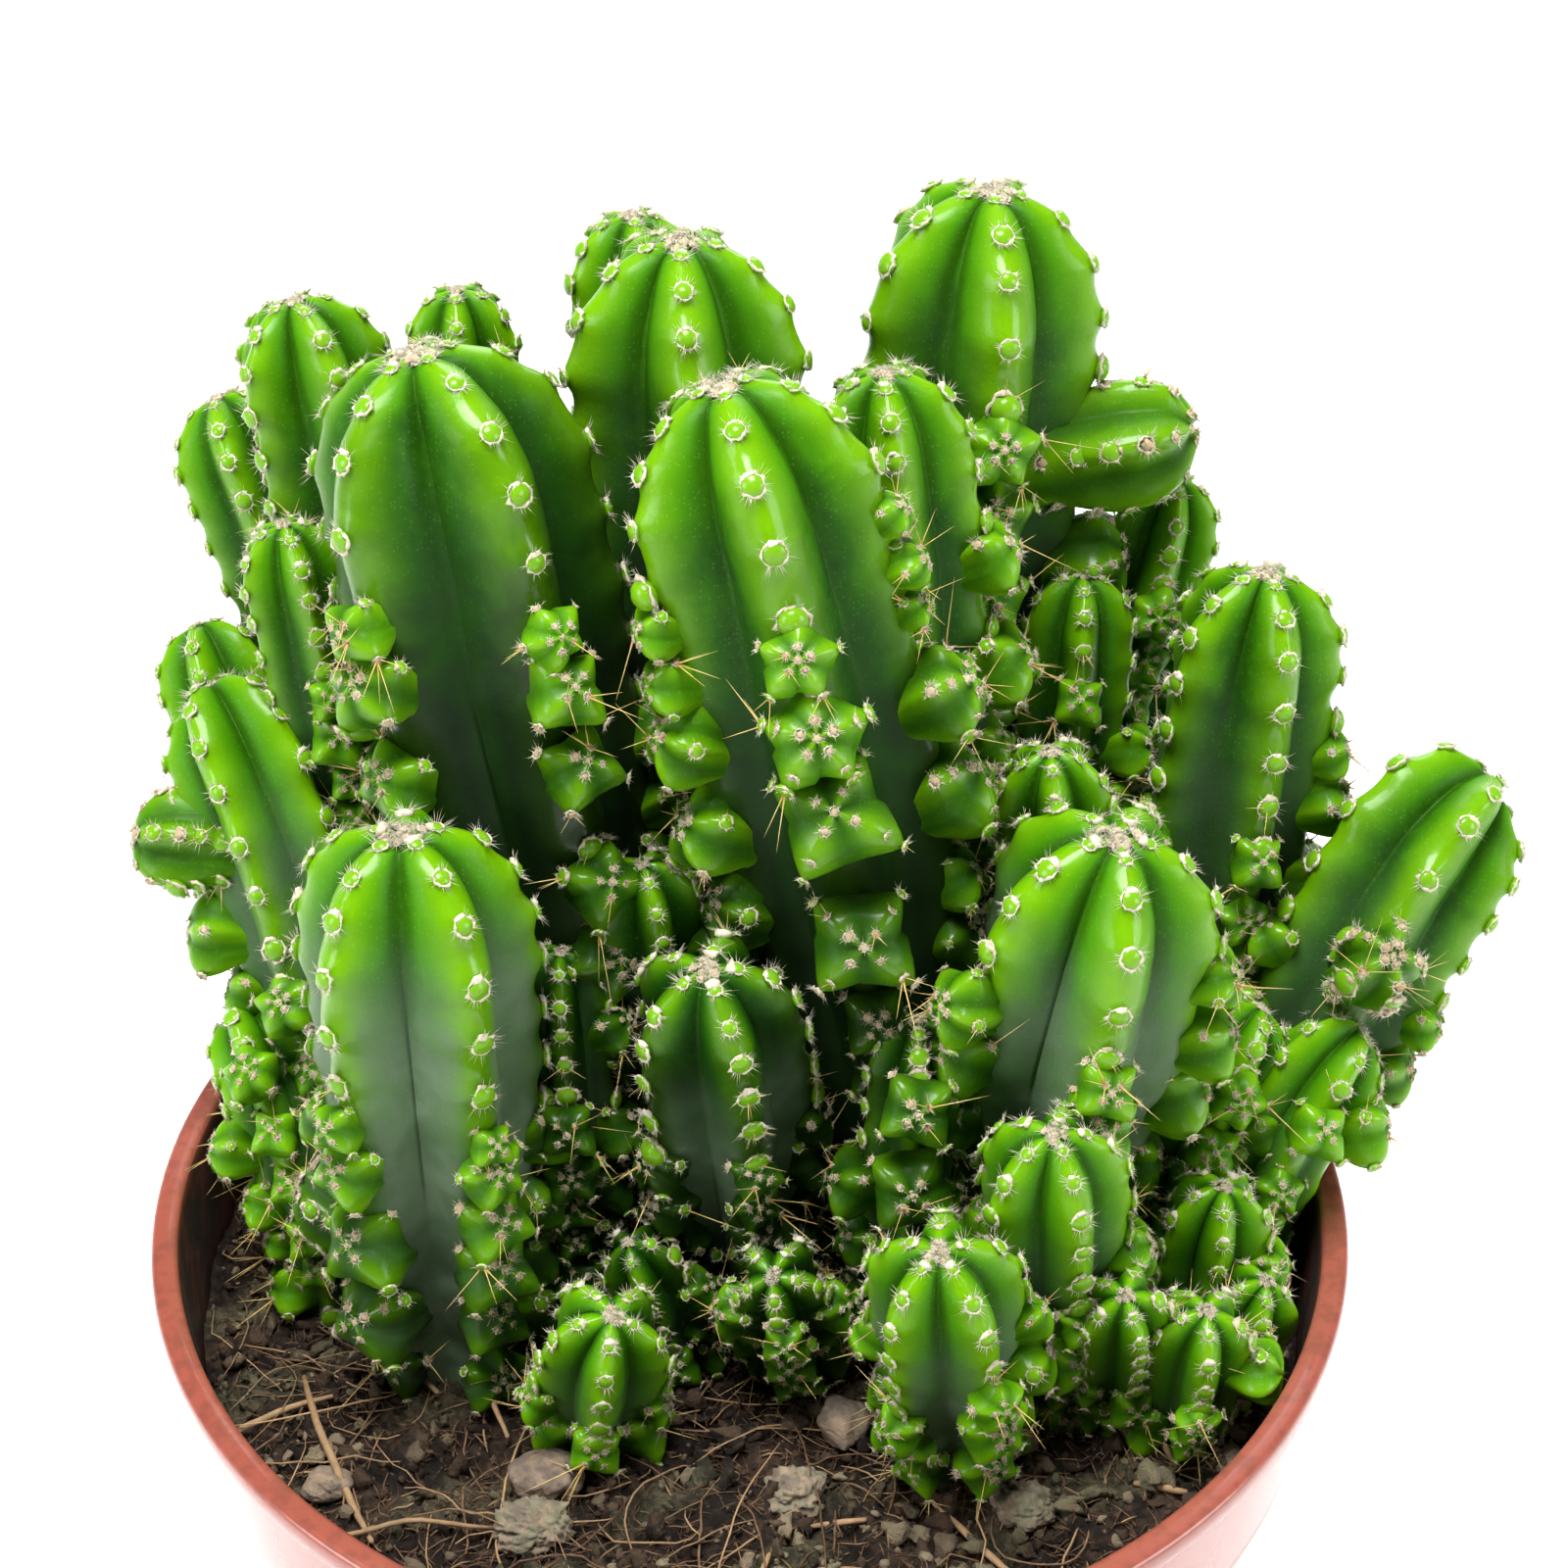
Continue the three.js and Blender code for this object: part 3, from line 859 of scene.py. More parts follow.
@dataclass(frozen=True)
class Habit:
    """How one stem grew: its size, the turn of its front rib, its bloom, its largest offsets, and how
    much deeper its green is than usual.

    Each offset is its rib, its distance below the tip and its half width, and its length where that
    isn't the usual one. Rib 0 is the front one and the numbers run anticlockwise.
    """

    node: str
    crest: float
    turn: float
    bloom: float
    side: Side
    offsets: tuple[tuple[float, ...], ...]
    deep: float = 0.0

    def stubs(self) -> list[Offset]:
        """The offsets with their lengths filled in."""
        return [Offset(rib, drop, half, *(rest or [RULE.reach * half]))
                for rib, drop, half, *rest in self.offsets]


HABITS = (
    Habit("stem_centre_tall", 11.5, 6, 0.05, Side.CENTRE, (
        (0, 25, 3.6), (0, 33, 4.8), (0, 43, 5.8), (0, 54, 5.4), (1, 17, 2.2), (1, 21.5, 2.4),
        (1, 26, 2), (1, 36, 4.5), (1, 47, 4.6), (4, 22, 2.6), (4, 28, 3), (4, 36, 4.2), (4, 46, 4.4),
        (4, 55, 4), (2, 38, 3), (3, 44, 3)), deep=0.06),
    Habit("stem_left_tall", 13.5, 34, 0.05, Side.LEFT, (
        (0, 26, 3), (0, 33, 4), (0, 42, 4), (0, 53, 4), (4, 23, 3.2), (4, 31, 4.2), (4, 41, 3.8),
        (4, 51, 3.5), (1, 46, 3.5), (3, 40, 3)), deep=0.26),
    Habit("stem_front_left", 11.3, 35, 1.0, Side.FRONT, (
        (0, 31, 2.2), (0, 36, 3.3), (0, 42, 3.8), (0, 49, 4.2), (0, 56, 3.6), (4, 28, 2.5),
        (4, 35, 3.5), (4, 46, 4.4), (4, 54, 4.6), (3, 38, 3), (3, 50, 4.4, 12), (1, 40, 3.5))),
    Habit("stem_right_front", 11.5, 8, 0.8, Side.RIGHT, (
        (0, 24, 3.2), (0, 30, 4.2), (0, 37, 4.6), (4, 20, 3.8), (4, 28, 4), (1, 18, 3), (1, 26, 3.8),
        (1, 35, 4.2), (2, 28, 3.2))),
    Habit("stem_back_right", 11.7, 8, 0.1, Side.BACK, (
        (1, 29, 6.8, 19), (1, 41, 5), (0, 24, 4), (0, 33, 4.2), (0, 42, 4.6), (0, 54, 5),
        (1, 52, 4.4), (2, 46, 4), (3, 52, 4), (2, 66, 4.2), (4, 48, 3.4))),
    Habit("stem_back_centre", 11.5, 5, 0.1, Side.BACK, (
        (0, 52, 3.6), (2, 48, 4), (3, 58, 4), (1, 60, 3.4), (3, 74, 3.6))),
    Habit("stem_back_hidden", 7, 10, 0.1, Side.BACK, ((2, 40, 3.4), (3, 52, 3.6), (2, 62, 4))),
    Habit("stem_right_of_centre", 8, 5, 0.1, Side.CENTRE, (
        (0, 30, 3.2), (0, 38, 4.2), (1, 22, 3.6), (1, 34, 4.2), (4, 18, 2.2), (2, 40, 3)), deep=0.12),
    Habit("stem_right", 8.5, 12, 0.2, Side.RIGHT, (
        (0, 30, 3), (1, 21, 2.6), (1, 27, 3.4), (1, 36, 3.6), (2, 30, 3.4), (4, 30, 2.4)), deep=0.2),
    Habit("stem_far_right", 9, -10, 0.2, Side.RIGHT, (
        (0, 24, 4.6, 12), (4, 26, 2.8), (4, 33, 3.6), (2, 26, 3)), deep=0.12),
    Habit("stem_left_back", 7.5, 28, 0.1, Side.LEFT, ((4, 34, 3), (3, 40, 3.4), (2, 48, 3.6)), deep=0.12),
    Habit("stem_far_left_back", 6.5, 0, 0.2, Side.LEFT, ((2, 26, 3), (3, 32, 3)), deep=0.2),
    Habit("stem_left_dark", 5.5, 0, 0.1, Side.LEFT, ((2, 36, 3), (3, 50, 3.4))),
    Habit("stem_left_mid", 5, 20, 0.2, Side.LEFT, ((0, 18, 2.4),), deep=0.15),
    Habit("stem_left_upper", 5.5, 0, 0.2, Side.LEFT, ((3, 26, 2.6),)),
    Habit("stem_left_leaning", 7.5, -12, 0.5, Side.LEFT, ((4, 17, 5, 12), (0, 34, 3.4))),
    Habit("stem_right_rear", 5.5, 0, 0.1, Side.RIGHT, ((0, 14, 3), (1, 20, 3.4), (2, 30, 3.6))),
    Habit("stem_right_inner", 5.5, 0, 0.1, Side.RIGHT, ((0, 14, 2.8), (1, 20, 3)), deep=0.15),
    Habit("stem_right_inner_front", 5.5, 0, 0.3, Side.CENTRE, ((1, 14, 2.6),)),
    Habit("stem_centre_small", 8, 18, 0.7, Side.CENTRE, ((0, 24, 2.6),), deep=0.22),
    Habit("stem_front_short", 7.2, 30, 1.0, Side.FRONT, (
        (0, 17, 2.6), (0, 23, 3.4), (4, 22, 2.6), (1, 16, 2.4), (3, 20, 2.8))),
    Habit("stem_front_right_low", 7, 20, 0.5, Side.FRONT, ((0, 22, 2.4), (4, 16, 2.2), (1, 20, 3))),
    Habit("stem_front_left_short", 6.2, 0, 0.5, Side.FRONT, ((4, 15, 2.4), (1, 15, 2))),
    Habit("shoot_front_star", 4.5, 0, 0.2, Side.FRONT, ((4, 9, 2.6), (1, 10, 2.6), (0, 8, 2.4)), deep=0.1),
    Habit("shoot_centre_left", 4.5, 0, 0.2, Side.CENTRE, ((1, 10, 2.6), (0, 18, 3), (1, 22, 3))),
    Habit("shoot_centre_star", 5, 15, 0.2, Side.CENTRE, ((1, 12, 2.8), (2, 10, 3))),
    Habit("shoot_centre_chain", 4.5, 0, 0.2, Side.CENTRE, (
        (0, 8, 3.8), (0, 17, 4.4), (0, 26, 3.2), (4, 20, 3.2))),
    Habit("shoot_centre_low", 4, 0, 0.2, Side.FRONT, ((1, 9, 2.4),)),
    Habit("shoot_left_low", 5, 0, 0.3, Side.LEFT, ((0, 9, 3), (4, 16, 3))),
    Habit("shoot_right_mid", 5, 0, 0.2, Side.RIGHT, ((0, 9, 3), (1, 14, 3))),
    Habit("shoot_right_edge", 5.5, 0, 0.2, Side.RIGHT, ((0, 12, 3.2), (1, 12, 3.6))),
    Habit("shoot_right_front_low", 5, 0, 0.2, Side.RIGHT, ((1, 11, 2.8),)),
    Habit("shoot_front_right_star", 4.4, 15, 0.2, Side.FRONT, ((1, 9, 2.6),)),
    Habit("shoot_front_right", 5, 0, 0.3, Side.FRONT, ((1, 9, 3), (0, 12, 2.4))),
    Habit("shoot_right_outer", 4.4, 0, 0.2, Side.RIGHT, ((0, 8, 2.2),)),
    Habit("shoot_back_left", 5.5, 0, 0.3, Side.BACK, ((2, 14, 3), (3, 18, 3.2))),
    Habit("shoot_back_centre", 6, 0, 0.3, Side.BACK, ((2, 14, 3), (3, 20, 3.4))),
    Habit("shoot_back_right", 5.5, 0, 0.3, Side.BACK, ((2, 12, 3), (3, 18, 3.2))),
    Habit("shoot_back_low", 4.6, 0, 0.3, Side.BACK, ((2, 9, 2.6),)),
)


@dataclass(frozen=True)
class GrowthRule:
    """What every stem of this plant has in common, as in the CAD model."""

    rise: float = 0.7
    foot_share: float = 0.56
    full_height: float = 0.6
    dome: float = 1.15
    lift: float = math.radians(25)
    reach: float = 2.3
    shoot_reach: float = 2.35
    root_depth: float = 4.0


RULE = GrowthRule()


class Axis:
    """The curved line that a stem grew along."""

    samples: int = 301

    def __init__(self, foot: Array, tip: Array) -> None:
        """Bends a stem from its foot to its tip, rising first where it leans.

        Args:
            foot: where it starts, in the soil.
            tip: its top.
        """
        middle = (foot + tip) / 2
        middle[2] += RULE.rise * math.hypot(*(tip - foot)[:2])
        t = np.linspace(0, 1, self.samples)[:, None]
        self._line = (1 - t) ** 2 * foot + 2 * t * (1 - t) * middle + t**2 * tip
        self._way = unit((1 - t) * (middle - foot) + t * (tip - middle))
        steps = np.linalg.norm(np.diff(self._line, axis=0), axis=1)
        self._run = np.concatenate([[0], np.cumsum(steps)])
        self.length = float(self._run[-1])

    def _read(self, table: Array, share: Array) -> Array:
        """Values of a table at shares of the length."""
        run = np.atleast_1d(share) * self.length
        return np.stack([np.interp(run, self._run, table[:, c]) for c in range(3)], -1)

    def points(self, share: Array) -> Array:
        """Places on the line."""
        return self._read(self._line, share)

    def ways(self, share: Array) -> Array:
        """Directions of the line."""
        return unit(self._read(self._way, share))


def node_points(node: str) -> tuple[Array, Array]:
    """A CAD node's separate corners, and how many triangles meet at each.

    Args:
        node: the node's name.

    Returns:
        The corners in millimetres, and the counts.
    """
    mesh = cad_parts[node].data
    raw = np.array([v.co[:] for v in mesh.vertices]) / METRES
    corners, owner = np.unique(np.round(raw, 3), axis=0, return_inverse=True)
    owner = owner.reshape(-1)
    counts = np.zeros(len(corners), int)
    for face in mesh.polygons:
        for corner in {owner[v] for v in face.vertices}:
            counts[corner] += 1
    return corners, counts


class Areoles(NamedTuple):
    """Many areoles: where they are, which way they face, and how large each part is."""

    places: Array
    normals: Array
    ups: Array
    beads: Array
    wool: Array
    tone: Array
    hair: Array
    spines: Array
    # This value carries ageing and painted shade from the clump.
    age: Array


@dataclass
class AreoleList:
    """Areoles as they are found, one by one."""

    rows: list[tuple] = field(default_factory=list)

    def add(self, place: Array, normal: Array, up: Array, bead: float, wool: float, tone: float, hair: float,
            spine: float, age: float) -> None:
        """Notes one areole.

        Args:
            place: the point on the skin.
            normal: the way it faces.
            up: the way along the rib.
            bead: radius of its bead.
            wool: radius of its wool.
            tone: 0 for white wool, 1 for tan.
            hair: length of its hairs.
            spine: length of its longest spines, or 0.
            age: 0 young, 1 fully grown; painted shade inside the clump raises it.
        """
        self.rows.append((place, normal, up, bead, wool, tone, hair, spine, age))

    def packed(self) -> Areoles:
        """The areoles as arrays.

        Returns:
            One array for each of their values.
        """
        columns = list(zip(*self.rows))
        vectors = [np.array(c) for c in columns[:3]]
        vectors[1] = unit(vectors[1])
        return Areoles(*vectors, *[np.array(c, float) for c in columns[3:]])


@dataclass
class Stem:
    """One column with its offsets, measured from its CAD node and grown again in detail."""

    habit: Habit
    soil_level: float
    seed: int
    ring_step: float = 0.8
    dome_rings: int = 22
    groove_top: float = 0.56
    groove_low: float = 0.70
    spacing_top: float = 4.0
    spacing_low: float = 5.9
    swelling: float = 0.8
    swell_length: float = 1.5
    grown_length: float = 62.0
    bloom_start: float = 11.0
    bloom_fade: float = 17.0
    crown_tufts: int = 10
    skin: MeshBuffer = field(default_factory=MeshBuffer)
    areoles: AreoleList = field(default_factory=AreoleList)

    def __post_init__(self) -> None:
        """Finds the foot and the tip, where the ribs of the CAD node close to a point."""
        corners, counts = node_points(self.habit.node)
        low = corners[corners[:, 2] < corners[:, 2].min() + 3]
        beside = np.hypot(*(corners[:, :2] - low.mean(0)[:2]).T)
        foot = corners[np.argmin(np.abs(corners[:, 2] - (self.soil_level - RULE.root_depth)) + 0.02 * beside)]
        away = np.linalg.norm(corners - foot, axis=1)
        tip = corners[np.argmax(away * (counts >= 2 * RIBS - 1))]
        self.axis = Axis(foot, tip)
        self.length = self.axis.length
        self.rng = np.random.default_rng(self.seed)
        self.sway = self.rng.uniform(0, TURN, RIBS)

    # -- shared growth --

    def rib_angle(self, rib: float | Array) -> float | Array:
        """Azimuth of a rib."""
        return math.radians(-90 + self.habit.turn) + TURN / RIBS * rib

    def crest_radius(self, share: Array | float) -> Array:
        """Radius over the ribs, growing from the foot and closing in the dome.

        Args:
            share: how far up, from 0 to 1.

        Returns:
            The radius at each share.
        """
        full = lerp(RULE.foot_share, 1.0, np.minimum(1, np.asarray(share) / RULE.full_height))
        dome = RULE.dome * self.habit.crest
        into = np.clip(dome - (1 - share) * self.length, 0, None) / dome
        return self.habit.crest * full * np.sqrt(np.clip(1 - into**2, 0, None))

    def out(self, share: float, rib: float) -> tuple[Array, Array]:
        """The way out along a rib, and the way up.

        Args:
            share: how far up the stem, from 0 to 1.
            rib: the rib.

        Returns:
            Both directions.
        """
        up = self.axis.ways(share)
        angle = self.rib_angle(rib)
        outward = upright_turns(up)[0] @ np.array([math.cos(angle), math.sin(angle), 0.0])
        return outward, up[0]

    # -- the column --

    def _shares(self) -> Array:
        """Heights of the rings: even on the body, crowding into the dome.

        Returns:
            Shares of the way up, from the foot to the tip.
        """
        dome = RULE.dome * self.habit.crest / self.length
        count = max(8, int((1 - dome) * self.length / self.ring_step))
        body = np.linspace(0, 1 - dome, count, endpoint=False)
        turn = np.linspace(0, math.radians(86), self.dome_rings)
        return np.concatenate([body, 1 - dome + dome * np.sin(turn)])

    def grow_column(self, reserved: list[Offset]) -> None:
        """Builds the ribbed skin and notes the areoles on its crests.

        Args:
            reserved: offsets that grow instead of areoles.
        """
        shares = self._shares()
        radius = self.crest_radius(shares)
        run = np.hypot(np.diff(shares) * self.length, np.diff(radius))
        run = np.concatenate([np.cumsum(run[::-1])[::-1], [0]]) + 0.06 * self.habit.crest
        drops = (1 - shares) * self.length
        spots = [self._areole_runs(rib, run, drops, reserved) for rib in range(RIBS)]

        v = np.tile(RIB_STEPS, RIBS)
        rib = np.repeat(np.arange(RIBS), len(RIB_STEPS))
        u = np.abs(v)
        top = ease(1 - drops / (2.6 * self.habit.crest))[:, None]
        groove = lerp(self.groove_low, self.groove_top, top)
        groove = lerp(groove, 0.9, ease(1 - shares / 0.12)[:, None] * 0.5)
        sharp = 1 - u**1.6
        soft = 0.5 + 0.5 * np.cos(math.pi * u**0.92)
        profile = groove + (1 - groove) * lerp(soft, sharp, 0.25 + 0.75 * top)
        swell = np.stack([sum((np.exp(-(((run - at) / self.swell_length) ** 2)) for at, _ in row),
                              np.zeros_like(run)) for row in spots], 1)
        slump = 0.06 * Ripple(self.seed, 14).at(np.stack([run * 0, run, run * 0], -1))[:, None]
        reach = radius[:, None] * (profile + slump * (1 - u) * 0.35)
        fade = np.clip(radius / self.habit.crest * 1.6, 0, 1)[:, None]
        reach += self.swelling * min(1.0, self.habit.crest / 9) * fade * swell[:, rib] * (1 - u) ** 2.2
        wander = 0.035 * np.sin(run[:, None] / 9 + self.sway[rib])
        angle = self.rib_angle(rib + v / 2) + wander
        flat = np.stack([reach * np.cos(angle), reach * np.sin(angle), np.zeros_like(reach)], -1)
        turns = upright_turns(self.axis.ways(shares))
        rings = np.einsum("nij,nkj->nki", turns, flat) + self.axis.points(shares)[:, None, :]
        dent = 0.10 * self.habit.crest * ease(1 - radius / (0.5 * self.habit.crest))
        rings -= (turns[:, :, 2] * dent[:, None])[:, None, :] * (u[None, :, None] * 0.8 + 0.2)
        rings += (Ripple(self.seed + 7, 5.5).at(rings) * 0.07)[..., None] * unit(
            rings - self.axis.points(shares)[:, None, :])
        ends = self.axis.points(np.array([0.0, 1.0]))
        top_way = self.axis.ways(1.0)[0]
        shape = loft(rings, ends[0], ends[1] - top_way * 0.12 * self.habit.crest)
        # Painted shade: the skin darkens towards the foot and where the clump shades it, mixed with real
        # ageing in one mask; deep darkens whole stems.
        age = np.maximum(ease(run / self.grown_length)[:, None], self._shade(rings))
        age = age + self.habit.deep * ease(run / 12)[:, None]
        crest = np.clip(1 - u * 1.15, 0, 1)[None, :] * np.ones_like(age)
        start = min(self.bloom_start, 0.18 * run.max())
        waxy = self.habit.bloom * ease((run - start) / self.bloom_fade)
        cloud = waxy[:, None] * ease((u - 0.12) / 0.3)[None, :]
        masks = {"age": age, "crest": crest, "bloom": cloud}
        self.skin.add(*shape, bead=0.0, **{name: np.concatenate([(mask + 0 * crest).ravel(), [1.0, 0.0]])
                                           for name, mask in masks.items()})
        for index, row in enumerate(spots):
            for spot_run, kind in row:
                self._note_crest_areole(index, spot_run, kind, run, rings)
        self._crown(ends[1] - top_way * 0.06 * self.habit.crest, top_way)

    def _shade(self, places: Array) -> Array:
        """How much the clump shades a place: more in its middle and lower down."""
        lower = ease((self.soil_level + 72 - places[..., 2]) / 46)
        return shade_from_above(places, 18, 50, 30) * lower

    def _areole_runs(self, rib: int, run: Array, drops: Array, reserved: list[Offset]) -> list[tuple]:
        """Where the areoles of one rib stand.

        Args:
            rib: the rib.
            run: length along the crest from the tip at each ring.
            drops: distance below the tip at each ring.
            reserved: offsets that grow instead of areoles.

        Returns:
            The length along the crest and how near the first offset is, from 0 to 1.
        """
        mine = [o for o in reserved if o.rib == rib]
        first = min((o.drop - o.half for o in mine), default=self.length)
        scale = lerp(0.66, 1.12, float(np.clip((self.habit.crest - 4) / 9.5, 0, 1)))
        at = 1.8 + self.rng.uniform(0, 1.4)
        found = []
        while at < run[0] - 3:
            drop = float(np.interp(-at, -run, drops))
            if not any(abs(drop - o.drop) < 0.95 * o.half + 0.7 for o in mine):
                found.append((at, float(ease((drop - first + 9) / 8))))
            step = lerp(self.spacing_top, self.spacing_low, float(ease(at / 15))) * scale
            at += step * self.rng.uniform(0.9, 1.12) * (1 - 0.25 * found[-1][1] if found else 1)
        return found

    def _note_crest_areole(self, rib: int, at: float, near: float, run: Array, rings: Array) -> None:
        """Notes one areole on a crest.

        Args:
            rib: the rib.
            at: length along the crest from the tip.
            near: how near the first offset is, from 0 to 1.
            run: length along the crest at each ring.
            rings: the skin's points.
        """
        column = rib * len(RIB_STEPS) + len(RIB_STEPS) // 2
        line = rings[:, column]
        row = float(np.interp(-at, -run, np.arange(len(run))))
        low = int(np.clip(math.floor(row), 1, len(run) - 2))
        place = lerp(line[low], line[low + 1], row - low)
        up = unit(line[min(low + 3, len(line) - 1)] - line[max(low - 3, 0)])
        side = rings[low, (column + 1) % rings.shape[1]] - rings[low, column - 1]
        normal = unit(np.cross(side, up))
        size = lerp(0.72, 1.0, ease((self.habit.crest - 4) / 6)) * self.rng.uniform(0.88, 1.12)
        young = float(ease(1 - at / 9))
        bead = size * lerp(lerp(1.06, 0.55, young), 1.6, near * self.rng.uniform(0.2, 1.0))
        wool = size * lerp(1.25, 1.55, young)
        spine = self.rng.uniform(1.2, 3.4) if self.rng.random() < 0.12 + 0.4 * near else 0.0
        self.areoles.add(place, normal, up, bead, wool, 0.12 + 0.4 * near, size * lerp(1.3, 1.7, young),
                         spine, float(ease(at / self.grown_length)))

    def _crown(self, tip: Array, way: Array) -> None:
        """Notes the woolly crown at the tip: a ring of tufts and one in the middle.

        Args:
            tip: the point in the dimple at the top.
            way: the way the stem points there.
        """
        size = self.habit.crest * 0.068
        turn = upright_turns(way[None])[0]
        for i in range(self.crown_tufts + 1):
            angle = i * TURN / self.crown_tufts + self.rng.uniform(-0.3, 0.3)
            reach = 0 if i == self.crown_tufts else size * self.rng.uniform(0.8, 2.6)
            place = tip + turn @ np.array([math.cos(angle) * reach, math.sin(angle) * reach, 0.15])
            lean = unit(way + 0.5 * turn @ np.array([math.cos(angle), math.sin(angle), 0]) * (reach > 0))
            self.areoles.add(place, lean, turn[:, 0], 0.0, size * self.rng.uniform(0.7, 1.2),
                             self.rng.uniform(0.05, 0.3), size * 1.5, 0.0, 0.0)

    # -- the offsets --

    def crowd(self, allowed: Callable[[Array, float, str], bool]) -> list[Offset]:
        """The larger offsets, and the small ones that fill the ribs below them.

        Args:
            allowed: says whether a stub that ends at a point has room.

        Returns:
            Every offset of the stem.
        """
        grown = self.habit.stubs()
        for rib in range(RIBS):
            mine = [o for o in grown if o.rib == rib]
            at = max((o.drop + 1.15 * o.half for o in mine), default=max(0.40 * self.length, 15.0))
            while at < self.length - RULE.root_depth - 2.5:
                half = self.rng.uniform(2.6, 4.4) * lerp(0.7, 1.0, float(ease((self.habit.crest - 4) / 5)))
                at += half * 0.95
                stub = Offset(rib, at, half, half * self.rng.uniform(1.8, 2.15))
                outward, _ = self.out(1 - at / self.length, rib)
                end = self.stub_root(stub) + outward * stub.reach
                if allowed(end, half, self.habit.node):
                    grown.append(stub)
                at += half * self.rng.uniform(0.7, 1.05)
        return grown

    def stub_root(self, stub: Offset) -> Array:
        """Where an offset starts, inside its rib.

        Args:
            stub: the offset.

        Returns:
            The middle of its root.
        """
        share = 1 - stub.drop / self.length
        outward, _ = self.out(share, stub.rib)
        return self.axis.points(share)[0] + outward * (float(self.crest_radius(share)) - stub.half)

    def grow_stub(self, stub: Offset) -> None:
        """Builds one blocky offset with an areole at each corner and a star of them at its tip.

        A long one is a young shoot with ribs of its own.

        Args:
            stub: the offset.
        """
        share = 1 - stub.drop / self.length
        outward, up = self.out(share, stub.rib)
        tilt = RULE.lift + self.rng.uniform(-0.15, 0.2)
        way = unit(outward * math.cos(tilt) + up * math.sin(tilt))
        turn = upright_turns(way[None])[0]
        root = self.stub_root(stub)
        shoot = stub.reach > RULE.shoot_reach * stub.half
        ribs = 5 if shoot or self.rng.random() < 0.45 else 4
        upward = turn.T @ up
        spin = math.atan2(upward[1], upward[0]) + (4 == ribs) * math.pi / 4 + self.rng.uniform(-0.3, 0.3)
        per_rib, rows = (14, 34) if shoot else (10, 20) if stub.half > 3.0 else (8, 14)
        v = np.tile(np.arange(per_rib) / per_rib * 2 - 1, ribs)
        u = np.abs(v)
        rib = np.repeat(np.arange(ribs), per_rib)
        shoulder = 1 - 1.15 * stub.half / stub.reach if shoot else 0.64
        along = np.concatenate([np.linspace(0, shoulder, rows // 2, endpoint=False),
                                shoulder + (1 - shoulder) * np.sin(np.linspace(0, 1.5, rows - rows // 2))])
        narrow = 0.8 if shoot else 0.62
        dome = np.clip((along - shoulder) / (1 - shoulder), 0, 1)
        body = np.where(along < shoulder, narrow + (1 - narrow) * ease((along - 0.12) / (shoulder - 0.12)),
                        (1 - dome ** (2.2 if shoot else 2.7)) ** (1 / 2.3))
        skew = 1 + 0.08 * np.cos(spin + rib * 2.3)
        face = math.cos(math.pi / ribs)
        block = face / np.cos((1 - u) * math.pi / ribs)
        star = face * 0.80 + (1 - face * 0.80) * (0.5 + 0.5 * np.cos(math.pi * u**0.9))
        starry = lerp(0.8, 1.0, along) if shoot else lerp(0.05, 0.5, ease((along - 0.55) / 0.4))
        profile = lerp(block, star, starry[:, None]) * lerp(1.10, 1.04, float(ribs == 5))
        square = ease((along - 0.15) / 0.4)[:, None]
        profile = lerp(0.92, lerp(profile, 0.95, 0.12), square)
        knob = np.exp(-(((along - 0.74) / 0.13) ** 2))[:, None] * (1 - u) ** 1.8 * (0.0 if shoot else 0.10)
        reach = stub.half * (body[:, None] * profile * skew + knob)
        angle = spin + (rib + v / 2) * TURN / ribs
        flat = np.stack([reach * np.cos(angle), reach * np.sin(angle),
                         np.repeat(along[:, None] * stub.reach, len(v), 1)], -1)
        flat[..., 2] -= 0.09 * stub.half * ease((along - 0.85) / 0.15)[:, None] * (0.3 + u)
        rings = flat @ turn.T + root
        rings += (Ripple(self.seed + 11, 4.5).at(rings) * 0.12)[..., None] * unit(rings - root)
        # Painted shade: an offset inside the clump gets a darker skin through the same mask as ageing.
        age = max(float(ease(stub.drop / 75)) * self.rng.uniform(0.5, 0.9), 0.9 * float(self._shade(root)),
                  0.35 * shoot)
        crest = np.clip(1 - u * 1.1, 0, 1) * np.ones((rows, 1)) * 0.85 + 0.1
        cap = root + way * stub.reach * 0.965
        waxy = self.habit.bloom * 0.25 * ease(stub.drop / 60 - 0.3)
        cloud = waxy * ease((u - 0.3) / 0.5) * np.ones((rows, 1))
        self.skin.add(*loft(rings, root - way * 0.1, cap), age=age,
                      crest=np.concatenate([crest.ravel(), [0.5, 0.4]]),
                      bloom=np.concatenate([cloud.ravel(), [0, 0]]), bead=0.25 * (1 - age))
        self._note_stub_areoles(stub, rings, along, per_rib, ribs, way, root, age)

